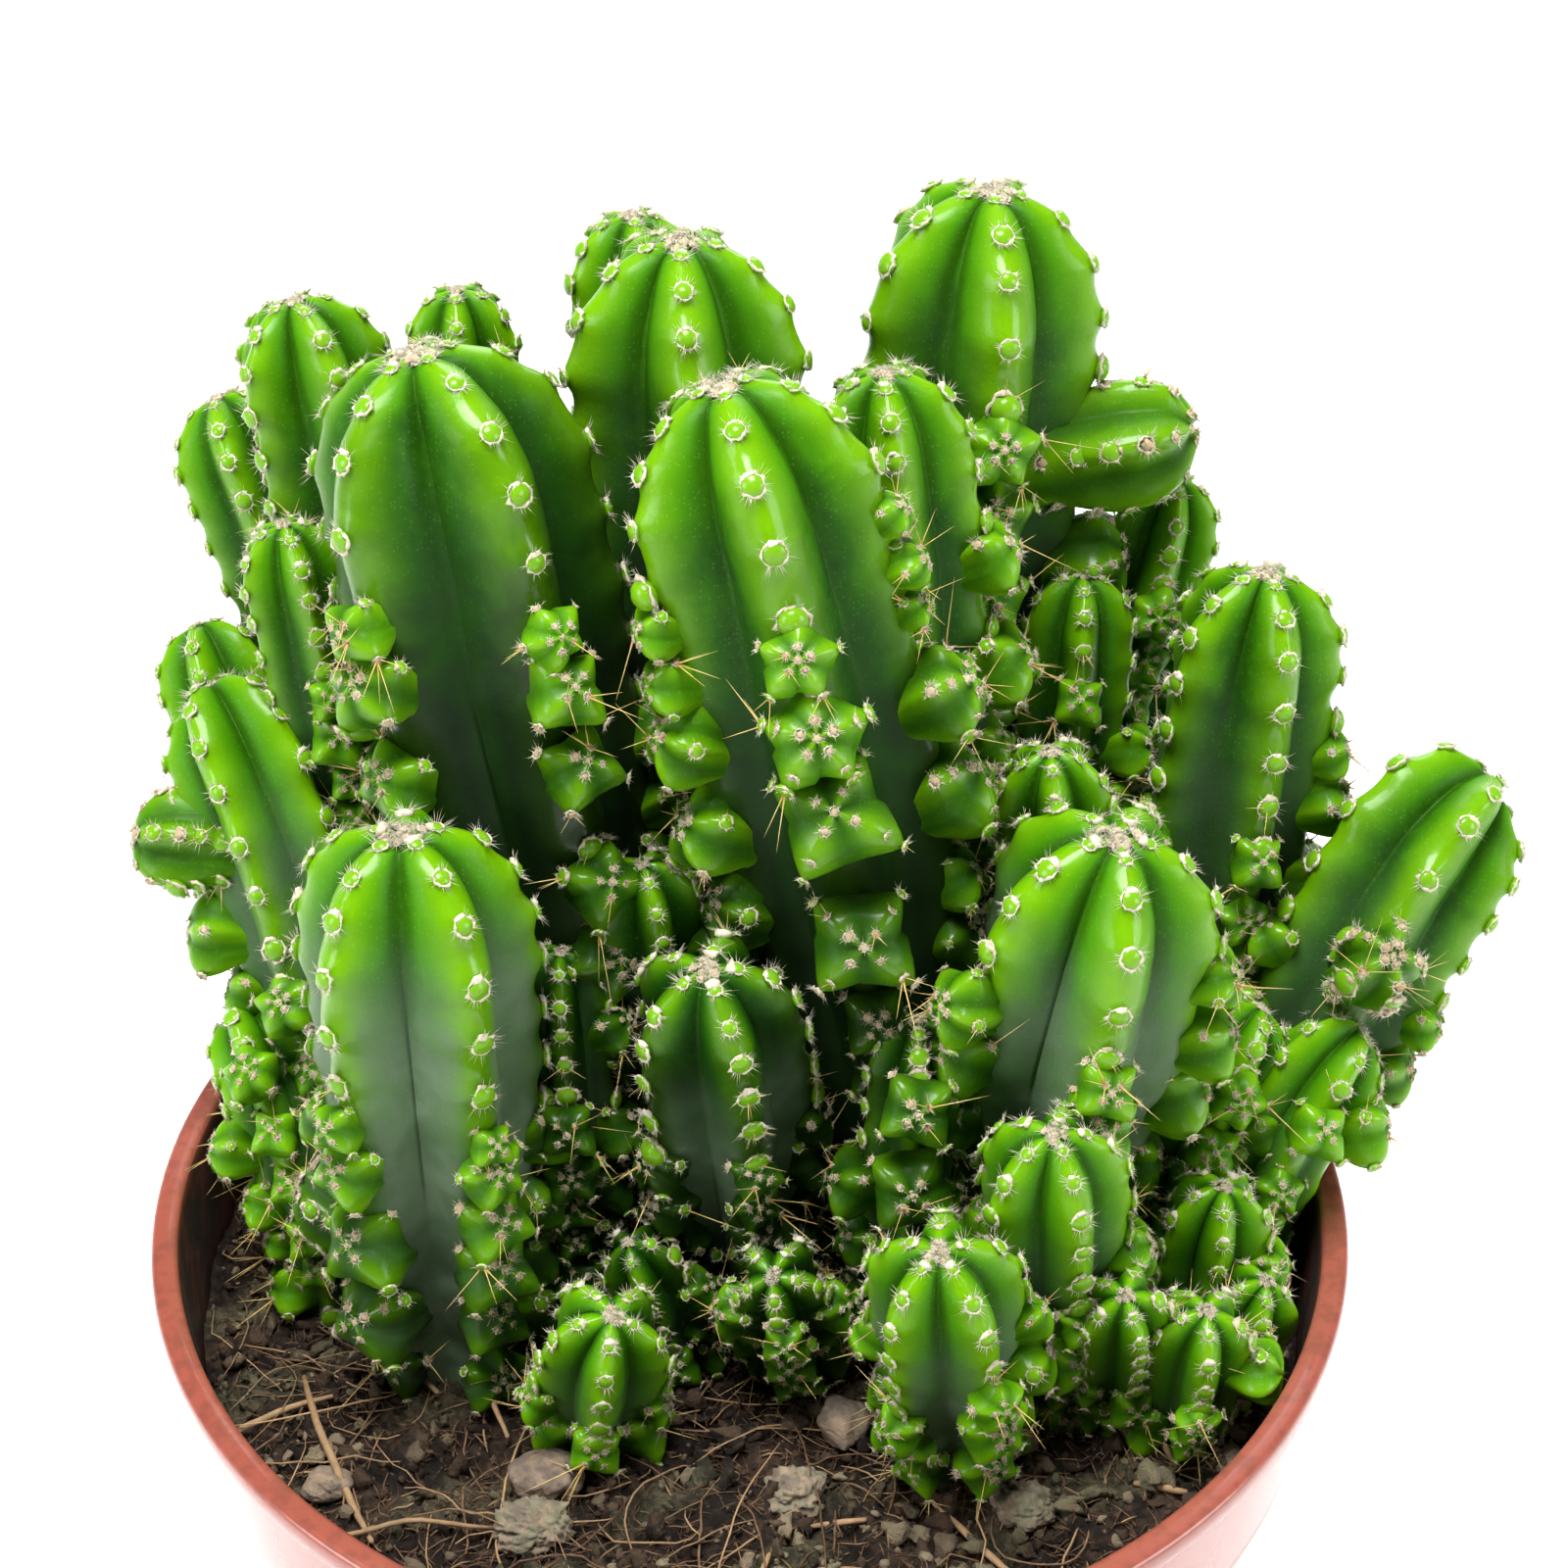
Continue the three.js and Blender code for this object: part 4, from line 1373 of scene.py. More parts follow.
    def _note_stub_areoles(self, stub: Offset, rings: Array, along: Array, per_rib: int, ribs: int,
                           way: Array, root: Array, age: float) -> None:
        """Notes the areoles of one offset, row by row from its tip.

        Args:
            stub: the offset.
            rings: its skin.
            along: the rings' places along it.
            per_rib: points round each rib.
            ribs: how many ribs it has.
            way: the way it points.
            root: where it starts.
            age: its ageing, raised by painted shade inside the clump.
        """
        size = float(lerp(0.42, 0.68, ease((stub.half - 1.8) / 3.2)))
        levels = [(0.985, 0.9), (0.74, 1.1)] + ([(0.90, 0.9)] if stub.half > 4.4 else [])
        if stub.reach > RULE.shoot_reach * stub.half:
            levels = [(0.995, 1.0), (0.92, 1.2), (0.76, 1.5), (0.58, 1.6), (0.40, 1.6), (0.22, 1.6)]
        for level, scale in levels:
            row = int(np.argmin(np.abs(along - level)))
            for rib in range(ribs):
                column = rib * per_rib + per_rib // 2
                place = rings[row, column]
                axis_point = root + way * float((place - root) @ way)
                outward, forward = (0.45, 1.0) if level > 0.9 else (1.0, 0.35)
                normal = unit(unit(place - axis_point) * outward + way * forward)
                fit = size * scale * self.rng.uniform(0.8, 1.2)
                bead = fit * self.rng.uniform(0.6, 1.2) if level < 0.9 and self.rng.random() < 0.6 else 0.0
                spine = self.rng.uniform(1.5, 7.5) if self.rng.random() < 0.26 else 0.0
                tone = self.rng.uniform(0.25, 0.7)
                self.areoles.add(place - normal * 0.05, normal, way, bead, fit * 0.95, tone, fit * 1.1, spine,
                                 age)
        self.areoles.add(root + way * stub.reach * 0.965, way, rings[0, 0] - root, 0.0, size * 0.9, 0.3,
                         size, 0.0, age)

    # -- the areoles --

    def grow_areoles(self, shapes: "AreoleShapes", wool: MeshBuffer, spines: MeshBuffer) -> None:
        """Builds beads into the skin, and the rest of each areole into the shared pieces."""
        shapes.build(self.areoles.packed(), self.skin, wool, spines, self.rng)


@dataclass
class AreoleShapes:
    """The small shapes that make an areole."""

    hairs: int = 32
    hair_radius: float = 0.035
    spine_radius: float = 0.066
    bead: Template = field(default_factory=lambda: dome_bead(11, 7))
    rings: list[Template] = field(default_factory=lambda: [wool_ring(seed) for seed in range(6)])
    pads: list[Template] = field(default_factory=lambda: lumps(2, range(60, 66), 0.34, 0.9))
    tufts: list[Template] = field(default_factory=lambda: lumps(1, range(70, 76), 0.34, 0.9))
    hair: Template = field(default_factory=tetra_hair)
    spine: Template = field(default_factory=lambda: spike(4, 5, 0.7))

    def build(self, spots: Areoles, skin: MeshBuffer, wool: MeshBuffer, spines: MeshBuffer,
              rng: np.random.Generator) -> None:
        """Builds every areole of one stem.

        Args:
            spots: the areoles.
            skin: takes the beads.
            wool: takes the rings, pads and hairs.
            spines: takes the spines.
            rng: draws the chances.
        """
        frames = facing(spots.normals, spots.ups)
        beaded = spots.beads > 0.3
        stout = np.clip((spots.beads - 1.15) / 0.6, 0, 1)
        lift = (0.4 * stout - 0.06) * spots.beads
        deep = np.stack([np.ones_like(stout), np.ones_like(stout), 0.50 + 0.45 * stout], -1)
        bead_frames = frames * (spots.beads[:, None] * deep)[:, None, :]
        skin.scatter(self.bead, bead_frames[beaded], (spots.places + lift[:, None] * spots.normals)[beaded],
                     age=spots.age[beaded] * 0.6, crest=0.85, bloom=0.0,
                     bead=1 - 0.7 * spots.age[beaded])
        kind = rng.integers(0, len(self.rings), len(spots.wool))
        ring_size = np.where(beaded, spots.beads * 0.98, spots.wool * 0.8)
        raised, sunk = spots.places + 0.04 * spots.normals, spots.places + 0.02 * spots.normals
        for index, (ring, pad, fluff) in enumerate(zip(self.rings, self.pads, self.tufts)):
            pick = beaded & (kind == index)
            wool.scatter(ring, frames[pick] * ring_size[pick, None, None], raised[pick],
                         along=0.6, tone=spots.tone[pick] * 0.7)
            above = spots.places + spots.ups * (spots.beads * rng.uniform(0.7, 1.0, len(kind)))[:, None]
            wide = (spots.wool * rng.uniform(0.25, 0.6, len(kind)))[:, None, None]
            tuft = wide * np.array([1.0, 0.7, 0.55])
            wool.scatter(fluff, frames[pick] * tuft[pick], above[pick], along=0.7, tone=spots.tone[pick])
            pick = ~beaded & (kind == index)
            wide = frames[pick] * spots.wool[pick, None, None]
            wool.scatter(ring, wide * np.array([0.72, 0.72, 1.1]), raised[pick],
                         along=0.6, tone=spots.tone[pick] * 0.5)
            wool.scatter(pad, wide * np.array([0.62, 0.62, 0.34]), sunk[pick],
                         along=0.3, tone=0.45 + spots.tone[pick] * 0.6)
        self._hairs(spots, frames, ring_size, wool, rng)
        self._spines(spots, frames, spines, rng)

    def _fan(self, spots: Areoles, frames: Array, each: int, tilt: tuple[float, float],
             rng: np.random.Generator) -> tuple[Array, Array, Array]:
        """Directions that spread from each areole.

        Args:
            spots: the areoles.
            frames: their frames.
            each: how many for each areole.
            tilt: least and most angle from the normal, in radians.
            rng: draws the chances.

        Returns:
            The index of each one's areole, its direction, and its direction along the skin.
        """
        owner = np.repeat(np.arange(len(spots.places)), each)
        angle = rng.uniform(0, TURN, len(owner))
        lean = rng.uniform(*tilt, len(owner))
        flat = np.stack([np.cos(angle), np.sin(angle), np.zeros_like(angle)], -1)
        local = flat * np.sin(lean)[:, None] + np.array([0, 0, 1.0]) * np.cos(lean)[:, None]
        turned = np.einsum("nij,nj->ni", frames[owner], local)
        return owner, turned, np.einsum("nij,nj->ni", frames[owner], flat)

    def _hairs(self, spots: Areoles, frames: Array, ring_size: Array, wool: MeshBuffer,
               rng: np.random.Generator) -> None:
        """Short white hairs round every areole.

        Args:
            spots: the areoles.
            frames: their frames.
            ring_size: the radius each one's hairs stand on.
            wool: takes the hairs.
            rng: draws the chances.
        """
        owner, way, flat = self._fan(spots, frames, self.hairs, (0.7, 1.6), rng)
        keep = rng.random(len(owner)) < np.clip(spots.hair / 1.1, 0.3, 1.0)[owner]
        owner, way, flat = owner[keep], way[keep], flat[keep]
        start = spots.places[owner] + flat * (ring_size[owner] * rng.uniform(0.6, 1.15, len(owner)))[:, None]
        start += spots.normals[owner] * 0.08
        long = spots.hair[owner] * rng.uniform(0.35, 1.15, len(owner))
        thin = np.full(len(owner), self.hair_radius)
        axes = upright_turns(way) * np.stack([thin, thin, long], -1)[:, None]
        wool.scatter(self.hair, axes, start, along=0.9, tone=spots.tone[owner] * 0.4)

    def _spines(self, spots: Areoles, frames: Array, spines: MeshBuffer, rng: np.random.Generator) -> None:
        """Thin golden spines, up to four on the areoles that have them.

        Args:
            spots: the areoles.
            frames: their frames.
            spines: takes the spines.
            rng: draws the chances.
        """
        owner, way, flat = self._fan(spots, frames, 4, (0.25, 1.2), rng)
        keep = (spots.spines[owner] > 0) & (rng.random(len(owner)) < 0.55)
        owner, way, flat = owner[keep], way[keep], flat[keep]
        if not len(owner):
            return
        long = spots.spines[owner] * rng.uniform(0.4, 1.1, len(owner))
        thick = self.spine_radius * rng.uniform(0.7, 1.1, len(owner)) * np.sqrt(np.clip(long / 4, 0.4, 1.5))
        start = spots.places[owner] + flat * 0.15 + spots.normals[owner] * 0.1
        axes = upright_turns(way) * np.stack([thick, thick, long], -1)[:, None]
        spines.scatter(self.spine, axes, start, along=np.tile(self.spine.points[:, 2], (len(owner), 1)),
                       tone=rng.uniform(0, 0.6, len(owner)))


@dataclass
class Clump:
    """All the stems of the plant."""

    soil_level: float
    wall_radius: float
    rim_level: float
    skin: bpy.types.Material
    wool: bpy.types.Material
    spine: bpy.types.Material
    crowding: float = 3.5
    stems: list[Stem] = field(default_factory=list)

    def __post_init__(self) -> None:
        """Measures every stem."""
        self.stems = [Stem(habit, self.soil_level, 100 + i) for i, habit in enumerate(HABITS)]
        places, sizes, owners = [], [], []
        for stem in self.stems:
            shares = np.linspace(0.02, 1, 40)
            places.append(stem.axis.points(shares))
            sizes.append(stem.crest_radius(shares))
            owners += [stem.habit.node] * len(shares)
        self._places, self._sizes = np.concatenate(places), np.concatenate(sizes)
        self._owners = np.array(owners)

    def has_room(self, end: Array, half: float, node: str) -> bool:
        """Whether a stub stays out of the other stems and inside the pot.

        Args:
            end: the point that it ends at.
            half: its half width.
            node: the stem that it grows on.

        Returns:
            True if it may grow.
        """
        others = self._owners != node
        gap = np.linalg.norm(self._places[others] - end, axis=1) - self._sizes[others] * 0.9
        if gap.min() < -self.crowding:
            return False
        radius = math.hypot(end[0], end[1])
        return end[2] > self.rim_level + half or radius + 1.3 * half < self.wall_radius

    def inside_pot(self, place: Array, size: float) -> bool:
        """Whether an areole is clear of the pot's wall."""
        return place[2] > self.rim_level + 1.0 or math.hypot(*place[:2]) + size + 0.6 < self.wall_radius

    def build(self) -> None:
        """Builds the skins, the wool and the spines."""
        wool = {side: MeshBuffer() for side in Side}
        spines = MeshBuffer()
        shapes = AreoleShapes()
        for stem in self.stems:
            offsets = stem.crowd(self.has_room)
            stem.grow_column(offsets)
            for offset in offsets:
                stem.grow_stub(offset)
            stem.areoles.rows = [row for row in stem.areoles.rows if self.inside_pot(row[0], row[3])]
            stem.grow_areoles(shapes, wool[stem.habit.side], spines)
            stem.skin.piece(f"{stem.habit.node}_skin", self.skin, Slot.SKIN, [stem.habit.node])
        for side, buffer in wool.items():
            buffer.piece(f"wool_{side.value}", self.wool, Slot.WOOL)
        spines.piece("spines", self.spine, Slot.SPINE)


# ---- Pot ----


@dataclass
class PlantPot:
    """The moulded pot, turned smoothly in the place of its CAD node."""

    node: str = "pot"
    lip_reach: float = 1.4
    lip_depth: float = 2.6
    collar_depth: float = 18.0
    collar_taper: float = 1.4
    step: float = 1.0
    floor_share: float = 2 / 3
    wall: float = 1.3
    sides: int = 192
    drain_holes: int = 6
    drain_radius: float = 3.5
    drain_circle: float = 30.0

    def __post_init__(self) -> None:
        """Reads the rim from the CAD node."""
        low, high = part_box(self.node)
        self.rim = (high.x - low.x) / 2 / METRES
        self.height = high.z / METRES
        self.collar_foot = self.height - self.collar_depth
        self.collar_top = self.rim - self.lip_reach
        self.body_top = self.collar_top - self.collar_taper - self.step

    def outer_radius(self, level: float) -> float:
        """Radius of the outside below the lip.

        Args:
            level: height above the pot's foot.

        Returns:
            The radius.
        """
        if level >= self.collar_foot:
            return self.collar_top - self.collar_taper * (self.height - level) / self.collar_depth
        return float(lerp(self.rim * self.floor_share, self.body_top,
                          min(1.0, level / (self.collar_foot - self.step))))

    def inner_radius(self, level: float) -> float:
        """Radius of the inside."""
        return self.outer_radius(level) - self.wall

    def _profile(self) -> list[tuple[float, float, float]]:
        """The section from the middle of the underside, round the lip, to the middle of the floor.

        Returns:
            Radius, level and how far inside each point is, from 0 to 1.
        """
        floor, under, top = self.rim * self.floor_share, self.height - self.lip_depth, self.height
        foot = [(r, 0.0, 0.0) for r in np.linspace(2, floor - 1.6, 10)]
        foot += [(floor - 0.9, 0.12, 0), (floor - 0.3, 0.5, 0), (self.outer_radius(1.2), 1.2, 0)]
        body = [(self.outer_radius(z), z, 0.0) for z in np.linspace(2.5, self.collar_foot - self.step, 26)]
        shelf = [(self.body_top + 0.15, self.collar_foot - 0.75, 0),
                 (self.body_top + 0.55, self.collar_foot - 0.4, 0),
                 (self.outer_radius(self.collar_foot) - 0.2, self.collar_foot - 0.15, 0)]
        collar = [(self.outer_radius(z), z, 0.0) for z in np.linspace(self.collar_foot + 0.2, under - 0.3, 9)]
        lip = [(self.collar_top + 0.05, under - 0.08, 0), (self.collar_top + 0.35, under, 0),
               (self.rim - 0.4, under, 0), (self.rim - 0.12, under + 0.12, 0), (self.rim, under + 0.4, 0),
               (self.rim, top - 0.7, 0), (self.rim - 0.14, top - 0.28, 0), (self.rim - 0.42, top - 0.06, 0),
               (self.rim - 0.8, top, 0), (self.inner_radius(top) + 0.5, top, 0),
               (self.inner_radius(top) + 0.12, top - 0.12, 0.1), (self.inner_radius(top), top - 0.45, 0.3)]
        inside = [(self.inner_radius(z), z, 1.0) for z in np.linspace(top - 1.6, self.collar_foot, 9)]
        inside += [(self.inner_radius(z), z, 1.0) for z in
                   np.linspace(self.collar_foot - self.step, self.wall + 0.8, 12)]
        inside += [(r, self.wall, 1.0) for r in np.linspace(self.inner_radius(self.wall), 2, 8)]
        return foot + body + shelf + collar + lip + inside

    def build(self, material: bpy.types.Material) -> bpy.types.Object:
        """Builds the pot and cuts its drainage holes.

        Args:
            material: its finish.

        Returns:
            The finished pot.
        """
        section = np.array(self._profile())
        angle = np.arange(self.sides) * TURN / self.sides
        rings = np.stack([section[:, :1] * np.cos(angle), section[:, :1] * np.sin(angle),
                          np.repeat(section[:, 1:2], self.sides, 1)], -1)
        buffer = MeshBuffer()
        shape = loft(rings, np.zeros(3), np.array([0, 0, self.wall]))
        # The inside mask darkens the inner wall in the pot's finish, as soil grime and painted shade.
        buffer.add(*shape, inside=np.concatenate([np.repeat(section[:, 2], self.sides), [0.0, 1.0]]))
        pot = buffer.piece("pot_moulding", material, Slot.POT, [self.node])
        self._drill(pot)
        return pot

    def _drill(self, pot: bpy.types.Object) -> None:
        """Cuts the drainage holes through the floor.

        Args:
            pot: the pot without holes.
        """
        form = bmesh.new()
        for i in range(self.drain_holes):
            angle = (i + 0.5) / self.drain_holes * TURN
            made = bmesh.ops.create_cone(form, cap_ends=True, segments=32, radius1=self.drain_radius * METRES,
                                         radius2=self.drain_radius * METRES, depth=6 * self.wall * METRES)
            place = Vector((math.cos(angle), math.sin(angle), 0)) * self.drain_circle * METRES
            bmesh.ops.translate(form, verts=made["verts"], vec=place)
        mesh = bpy.data.meshes.new("drills")
        form.to_mesh(mesh)
        form.free()
        drills = bpy.data.objects.new("drills", mesh)
        bpy.context.scene.collection.objects.link(drills)
        cut = pot.modifiers.new("drainage", "BOOLEAN")
        cut.operation, cut.object, cut.solver = "DIFFERENCE", drills, "EXACT"
        graph = bpy.context.evaluated_depsgraph_get()
        drilled = bpy.data.meshes.new_from_object(pot.evaluated_get(graph))
        pot.modifiers.clear()
        pot.data = drilled
        bpy.data.objects.remove(drills)
        bpy.data.meshes.remove(mesh)


# ---- Soil ----


@dataclass
class SoilBed:
    """The lumpy top of the soil, with its crumbs, fibres and straw."""

    pot: PlantPot
    node: str = "soil"
    rings: int = 150
    sides: int = 400
    crumbs: int = 1350
    grains: int = 4200
    roots: int = 5200
    fibres: int = 900
    straws: int = 60

    def __post_init__(self) -> None:
        """Reads the level and the depth of the soil from the CAD node."""
        low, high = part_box(self.node)
        self.level = high.z / METRES
        self.floor = low.z / METRES
        self.radius = self.pot.inner_radius(self.level) - 0.35
        self.rng = np.random.default_rng(7)

    def height(self, places: Array) -> Array:
        """Level of the soil at places on it.

        Args:
            places: (..., 2) or (..., 3).

        Returns:
            The level at each.
        """
        flat = np.stack([places[..., 0], places[..., 1], 0 * places[..., 0]], -1)
        waves = 0.8 * Ripple(21, 26).at(flat) + 0.6 * Ripple(22, 8).at(flat) + 0.75 * Ripple(23, 3.4).at(flat)
        waves += 0.4 * Ripple(24, 1.6).at(flat)
        return self.level + np.clip(waves, -1.9, 1.9) * 0.8 - 0.1

    def build(self, material: bpy.types.Material) -> None:
        """Builds the plug of soil with its uneven top, and the crumbs on it.

        Args:
            material: the soil's finish.
        """
        angle = np.arange(self.sides) * TURN / self.sides
        reach = self.radius * np.sqrt(np.linspace(1, 0.0002, self.rings))
        flat = np.stack([reach[:, None] * np.cos(angle), reach[:, None] * np.sin(angle)], -1)
        top = np.concatenate([flat, self.height(flat)[..., None]], -1)
        levels = np.linspace(self.floor, self.level - 2, 12)
        side = [np.stack([(self.pot.inner_radius(z) - 0.5) * np.cos(angle),
                          (self.pot.inner_radius(z) - 0.5) * np.sin(angle), np.full(self.sides, z)], -1)
                for z in levels]
        rings = np.concatenate([np.array(side), top])
        centre = np.array([0, 0, self.level])
        buffer = MeshBuffer()
        shape = loft(rings, np.array([0, 0, self.floor]), centre)
        patch = ease(Ripple(33, 13).at(shape.points * np.array([1, 1, 0])) / 0.8 - 0.3)
        # Painted shade: the soil darkens under the clump through its tone mask.
        buffer.add(*shape, tone=-0.35 * self._shade(shape.points), moss=0.35 * patch)
        buffer.piece("soil_bed", material, Slot.SOIL, [self.node])
        loose = MeshBuffer()
        self._add_crumbs(loose)
        loose.piece("soil_crumbs", material, Slot.SOIL)

    @staticmethod
    def _shade(places: Array) -> Array:
        """How much the clump shades the soil, from 0 at its edge to 1 in its middle."""
        return shade_from_above(places, 16, 44, 22)

    def _spread(self, count: int, inset: float) -> Array:
        """Even random places on the soil.

        Args:
            count: how many.
            inset: how far they stay from the soil's edge.

        Returns:
            The places, (count, 3).
        """
        reach = (self.radius - inset) * np.sqrt(self.rng.random(count))
        angle = self.rng.uniform(0, TURN, count)
        flat = np.stack([reach * np.cos(angle), reach * np.sin(angle)], -1)
        return np.concatenate([flat, self.height(flat)[:, None]], -1)

    def _add_crumbs(self, buffer: MeshBuffer) -> None:
        """Crumbs and grains of peat, bark and grit lying on the soil.

        Args:
            buffer: takes them.
        """
        for level, count, low, high in ((2, self.crumbs, 0.4, 1.25), (1, self.grains, 0.18, 0.6)):
            shapes = lumps(level, range(80, 88), 0.42, 1.3)
            places = self._spread(count, high)
            size = low + (high - low) * self.rng.random(count) ** 2.0
            stretch = self.rng.uniform(0.55, 1.35, (count, 3))
            turns = upright_turns(unit(self.rng.normal(size=(count, 3)) + np.array([0, 0, 1.2])))
            frames = turns * (stretch * size[:, None])[:, None]
            places[:, 2] += size * 0.45
            flat = places * np.array([1, 1, 0])
            tone = np.clip(self.rng.beta(0.9, 1.0, count) + 0.15 * Ripple(31, 30).at(flat), 0, 1)
            # Painted shade: crumbs under the clump are darker.
            tone *= 1 - 0.6 * self._shade(places)
            moss = ease(Ripple(33, 13).at(flat) / 0.8 - 0.2) * self.rng.random(count) ** 0.5
            kind = self.rng.integers(0, len(shapes), count)
            for index, shape in enumerate(shapes):
                pick = kind == index
                buffer.scatter(shape, frames[pick], places[pick], tone=tone[pick], moss=moss[pick] * 0.8)

    def build_litter(self, material: bpy.types.Material) -> None:
        """Builds the fine roots, the coir fibres and the thicker bits of straw.

        Args:
            material: their finish.
        """
        buffer = MeshBuffer()
        for _ in range(self.roots):
            self._strand(buffer, self.rng.uniform(1.2, 5.0), self.rng.uniform(0.035, 0.09), 3,
                         self.rng.uniform(0.15, 0.6), 0.75 + 0.45 * self.rng.random())
        buffer.piece("fine_roots", material, Slot.FIBRE)
        buffer = MeshBuffer()
        for _ in range(self.fibres):
            long = 2.5 + 24 * self.rng.random() ** 2.6
            self._strand(buffer, long, self.rng.uniform(0.045, 0.15), 4, self.rng.uniform(0.03, 0.22),
                         self.rng.uniform(0, 1.1))
        for _ in range(self.straws):
            self._strand(buffer, self.rng.uniform(5, 26), self.rng.uniform(0.18, 0.42), 7, 0.03,
                         self.rng.uniform(0, 0.4))
        buffer.piece("coir_fibres", material, Slot.FIBRE)

    def _strand(self, buffer: MeshBuffer, long: float, thick: float, sides: int, curl: float,
                tone: float) -> None:
        """Lays one strand over the soil.

        Args:
            buffer: takes the strand.
            long: its length.
            thick: its radius.
            sides: corners of its section.
            curl: how much it bends in each millimetre, in radians.
            tone: 0 for tan, 1 for dark.
        """
        rows = max(6 if long > 5 else 4, int(long / 1.4))
        step = long / rows
        heading = self.rng.uniform(0, TURN) + np.cumsum(
            self.rng.normal(0, curl * step, rows) + self.rng.normal(0, curl * 0.6) * step)
        start = self._spread(1, 2.0)[0]
        flat = start[:2] + np.cumsum(np.stack([np.cos(heading), np.sin(heading)], -1) * step, axis=0)
        flat -= flat.mean(0) - start[:2]
        far = np.linalg.norm(flat, axis=1, keepdims=True)
        flat *= np.minimum(1, (self.radius - 0.8) / far)
        along = np.linspace(0, 1, rows)
        arch = self.rng.uniform(0.1, 0.09 * long) * np.sin(along * math.pi * self.rng.uniform(0.6, 1.4))
        level = self.height(flat)
        level = np.convolve(np.pad(level, 2, mode="edge"), np.ones(5) / 5, mode="valid")
        line = np.concatenate([flat, (level + thick + np.abs(arch) + 0.15)[:, None]], -1)
        ways = unit(np.gradient(line, axis=0))
        sideways = unit(np.cross(ways, np.array([0, 0, 1.0])))
        upward = np.cross(sideways, ways)
        angle = np.arange(sides) * TURN / sides
        taper = thick * (0.35 + 0.65 * np.sin(np.clip(along, 0.06, 0.94) * math.pi) ** 0.5)
        rings = line[:, None] + taper[:, None, None] * (
            np.cos(angle)[None, :, None] * sideways[:, None] + np.sin(angle)[None, :, None] * upward[:, None])
        shape = loft(rings, line[0] - ways[0] * thick * 0.4, line[-1] + ways[-1] * thick * 0.4)
        buffer.add(*shape, along=np.concatenate([np.repeat(along, sides), [0, 1]]), tone=tone)


@dataclass
class Stones:
    """The pebbles and clods, each rough and in the place of its CAD node."""

    detail: int = 5
    rough: float = 0.12

    def build(self, material: bpy.types.Material) -> None:
        """Builds one stone for each CAD node that is one.

        Args:
            material: the stones' finish.
        """
        names = sorted(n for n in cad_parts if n.startswith(("pebble", "clod")))
        base = ball(self.detail)
        for seed, node in enumerate(names):
            low, high = (np.array(corner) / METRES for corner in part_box(node))
            clod = float(node.startswith("clod"))
            bumps = 1 + self.rough * (Ripple(300 + seed, 1.5).at(base.points)
                                      + lerp(0.3, 0.75, clod) * Ripple(330 + seed, 0.5).at(base.points)
                                      + lerp(0.1, 0.55, clod) * Ripple(360 + seed, 0.22).at(base.points))
            points = base.points * bumps[:, None]
            spread = np.ptp(points, axis=0)
            points = (points - points.min(0)) / spread * (high - low) + low
            buffer = MeshBuffer()
            buffer.add(points, base.quads, base.tris, moss=clod * 0.8)
            buffer.piece(f"{node}_stone", material, Slot.STONE, [node])


# ---- Studio ----


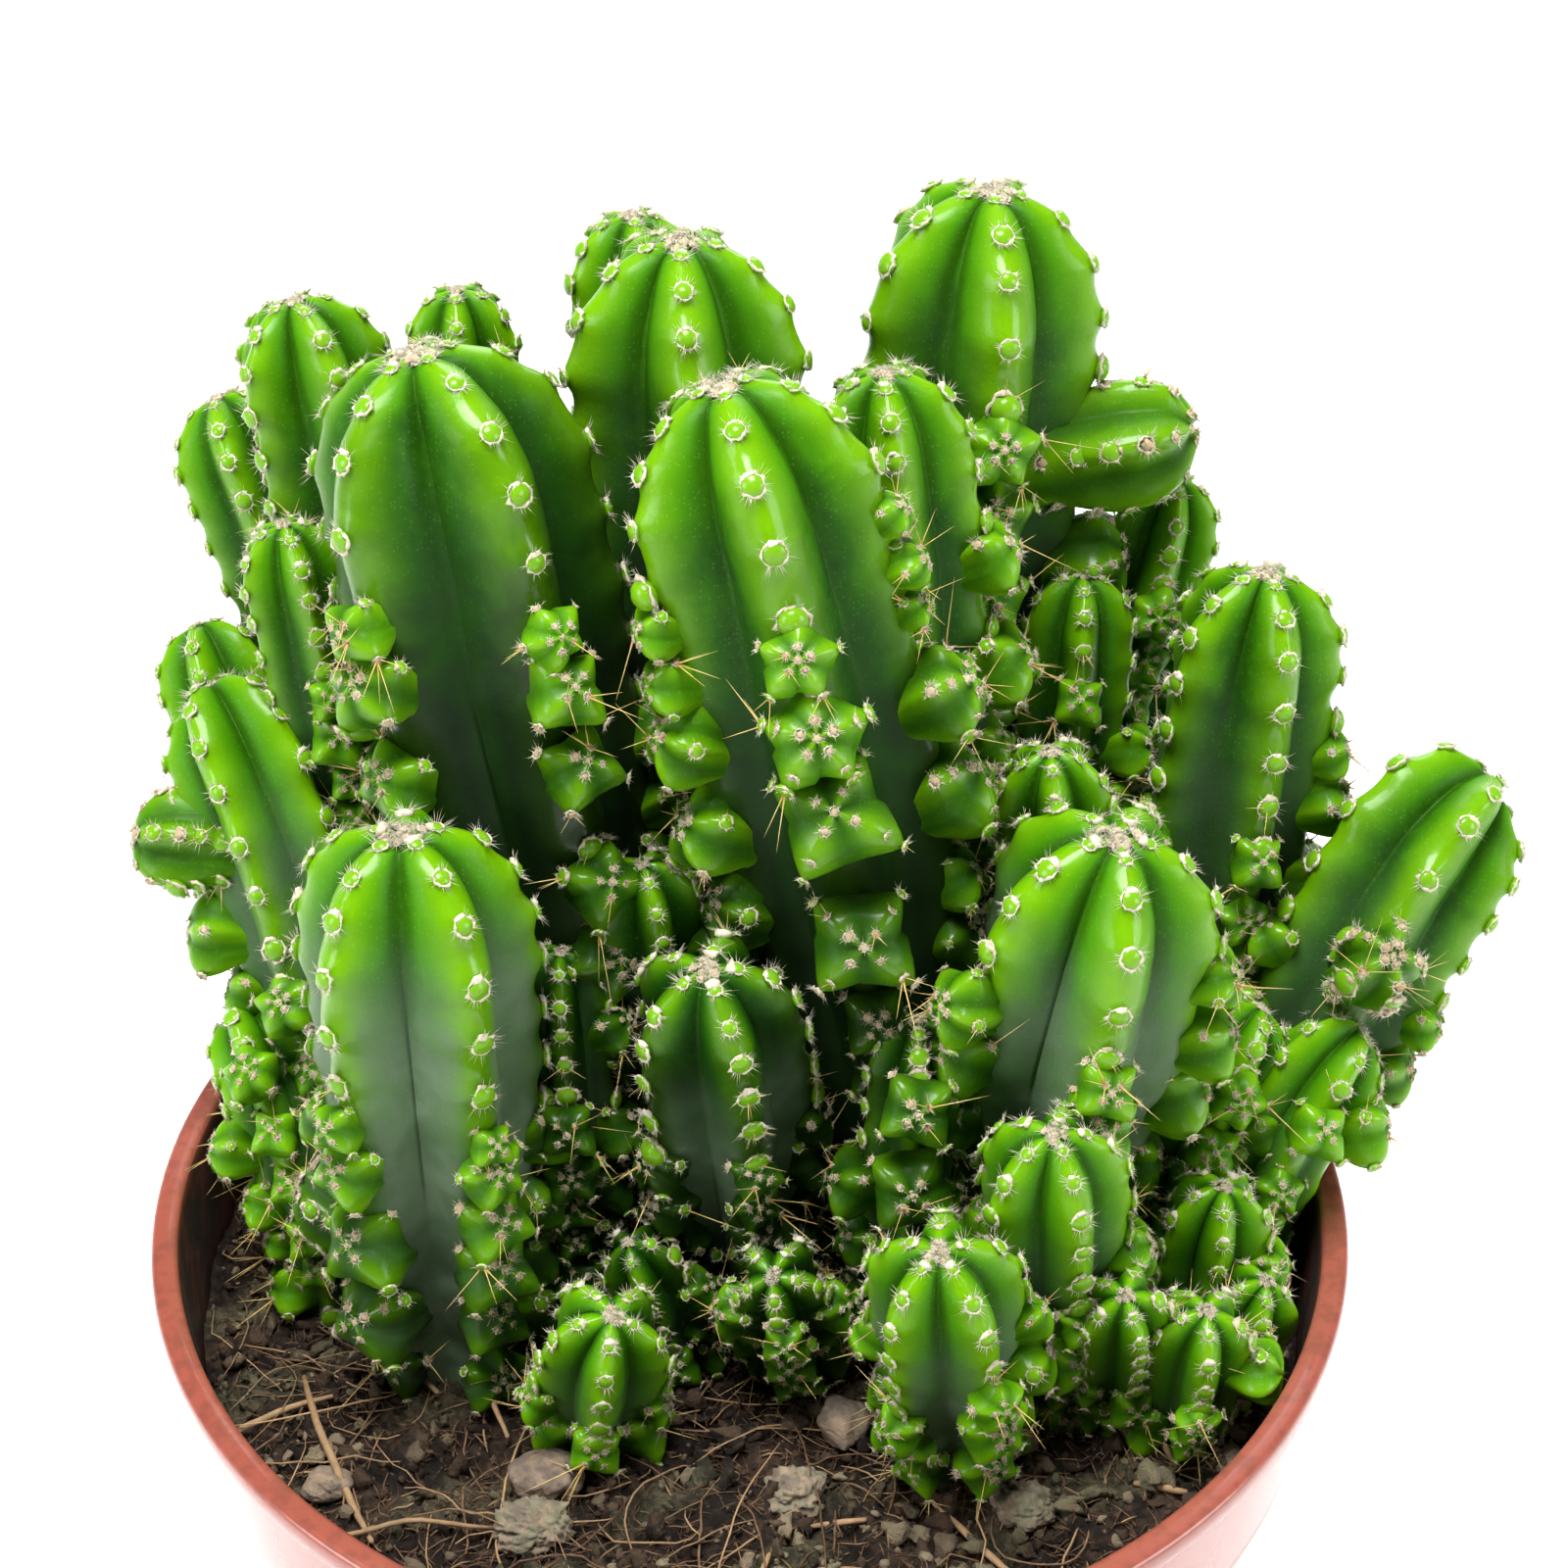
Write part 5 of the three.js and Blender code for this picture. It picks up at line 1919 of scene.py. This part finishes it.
@dataclass
class Studio:
    """A plain pale floor, soft light from above and both sides, and the camera."""

    pot: PlantPot
    floor_size: float = 16.0
    floor_glow: float = 0.55
    horizon: float = 0.9
    zenith: float = 0.06
    eye_distance: float = 35 / 6
    eye_elevation: float = 42.99
    pitch: float = 36.2
    yaw: float = 0.758
    lens: float = 78.97

    def lay_floor(self) -> None:
        """Lays the floor."""
        half = self.floor_size / 2
        mesh = bpy.data.meshes.new("floor")
        mesh.from_pydata([(-half, -half, 0), (half, -half, 0), (half, half, 0), (-half, half, 0)], [],
                         [(0, 1, 2, 3)])
        material, bench, shading = new_material("floor_paper", {
            "Roughness": 0.9, "Specular IOR Level": 0.1, "Emission Color": rgb(1, 1, 1),
            "Emission Strength": self.floor_glow})
        tint = bench.add("TexNoise", {"Scale": 3.0})
        colour = bench.blend(tint.outputs[0], rgb(0.93, 0.93, 0.93), rgb(0.96, 0.96, 0.96))
        bench.tree.links.new(colour, shading.inputs["Base Color"])
        mesh.materials.append(material)
        floor = bpy.data.objects.new("floor", mesh)
        bpy.context.scene.collection.objects.link(floor)

    def light(self) -> None:
        """Hangs the lamps and lights the room."""
        world = bpy.data.worlds.new("white_room")
        world.use_nodes = True
        bench, ground = Bench(world.node_tree), world.node_tree.nodes["Background"]
        height = bench.add("SeparateXYZ", {0: bench.add("TexCoord").outputs["Generated"]}).outputs[2]
        shade = bench.span(height, 0.16, 0.26, (self.horizon, self.zenith))
        ground.inputs[0].default_value = rgb(1.0, 1.0, 1.0)
        world.node_tree.links.new(shade, ground.inputs[1])
        bpy.context.scene.world = world
        top = Vector((0, 0, self.pot.height * METRES))
        for name, place, size, power in (
                ("overhead", (-0.10, -0.05, 0.95), 0.42, 13.6),
                ("left_box", (-0.75, -0.35, 0.50), 0.45, 5.0),
                ("right_box", (0.80, -0.30, 0.45), 0.45, 4.6),
                ("back_box", (0.15, 0.80, 0.60), 0.50, 4.0)):
            lamp = bpy.data.lights.new(name, "AREA")
            lamp.shape, lamp.size, lamp.energy = "SQUARE", size, power
            stand = bpy.data.objects.new(name, lamp)
            stand.location = Vector(place)
            stand.rotation_mode = "QUATERNION"
            stand.rotation_quaternion = (top - stand.location).to_track_quat("-Z", "Y")
            bpy.context.scene.collection.objects.link(stand)
        bpy.context.scene.view_settings.view_transform = "Standard"

    def set_camera(self) -> None:
        """Sets the camera a few rim radii from the middle of the pot's rim, looking down."""
        camera = bpy.data.cameras.new("camera")
        camera.lens, camera.sensor_width = self.lens, 36.0
        camera.clip_start, camera.clip_end = 0.01, 20.0
        eye = bpy.data.objects.new("camera", camera)
        away, up = self.eye_distance * self.pot.rim * METRES, math.radians(self.eye_elevation)
        eye.location = (0, -away * math.cos(up), self.pot.height * METRES + away * math.sin(up))
        down, aside = math.radians(self.pitch), math.radians(self.yaw)
        look = Vector((math.sin(aside) * math.cos(down), math.cos(aside) * math.cos(down), -math.sin(down)))
        eye.rotation_mode = "QUATERNION"
        eye.rotation_quaternion = look.to_track_quat("-Z", "Y")
        bpy.context.scene.collection.objects.link(eye)
        bpy.context.scene.camera = eye


def main() -> None:
    """Builds the plant, its pot and soil, and the studio."""
    logging.basicConfig(level=logging.INFO, format="%(name)s: %(message)s", stream=sys.stdout)
    effects = Effects()
    pot = PlantPot()
    pot.build(PotFinish().material(effects))
    soil = SoilBed(pot)
    soil.build(SoilFinish().material(effects))
    soil.build_litter(FIBRE.material(effects))
    Stones().build(StoneFinish().material(effects))
    Clump(soil.level, pot.inner_radius(soil.level), pot.height, SkinFinish().material(effects),
          WOOL.material(effects), SPINE.material(effects)).build()
    studio = Studio(pot)
    studio.lay_floor()
    studio.light()
    studio.set_camera()


if __name__ == "__main__":
    main()
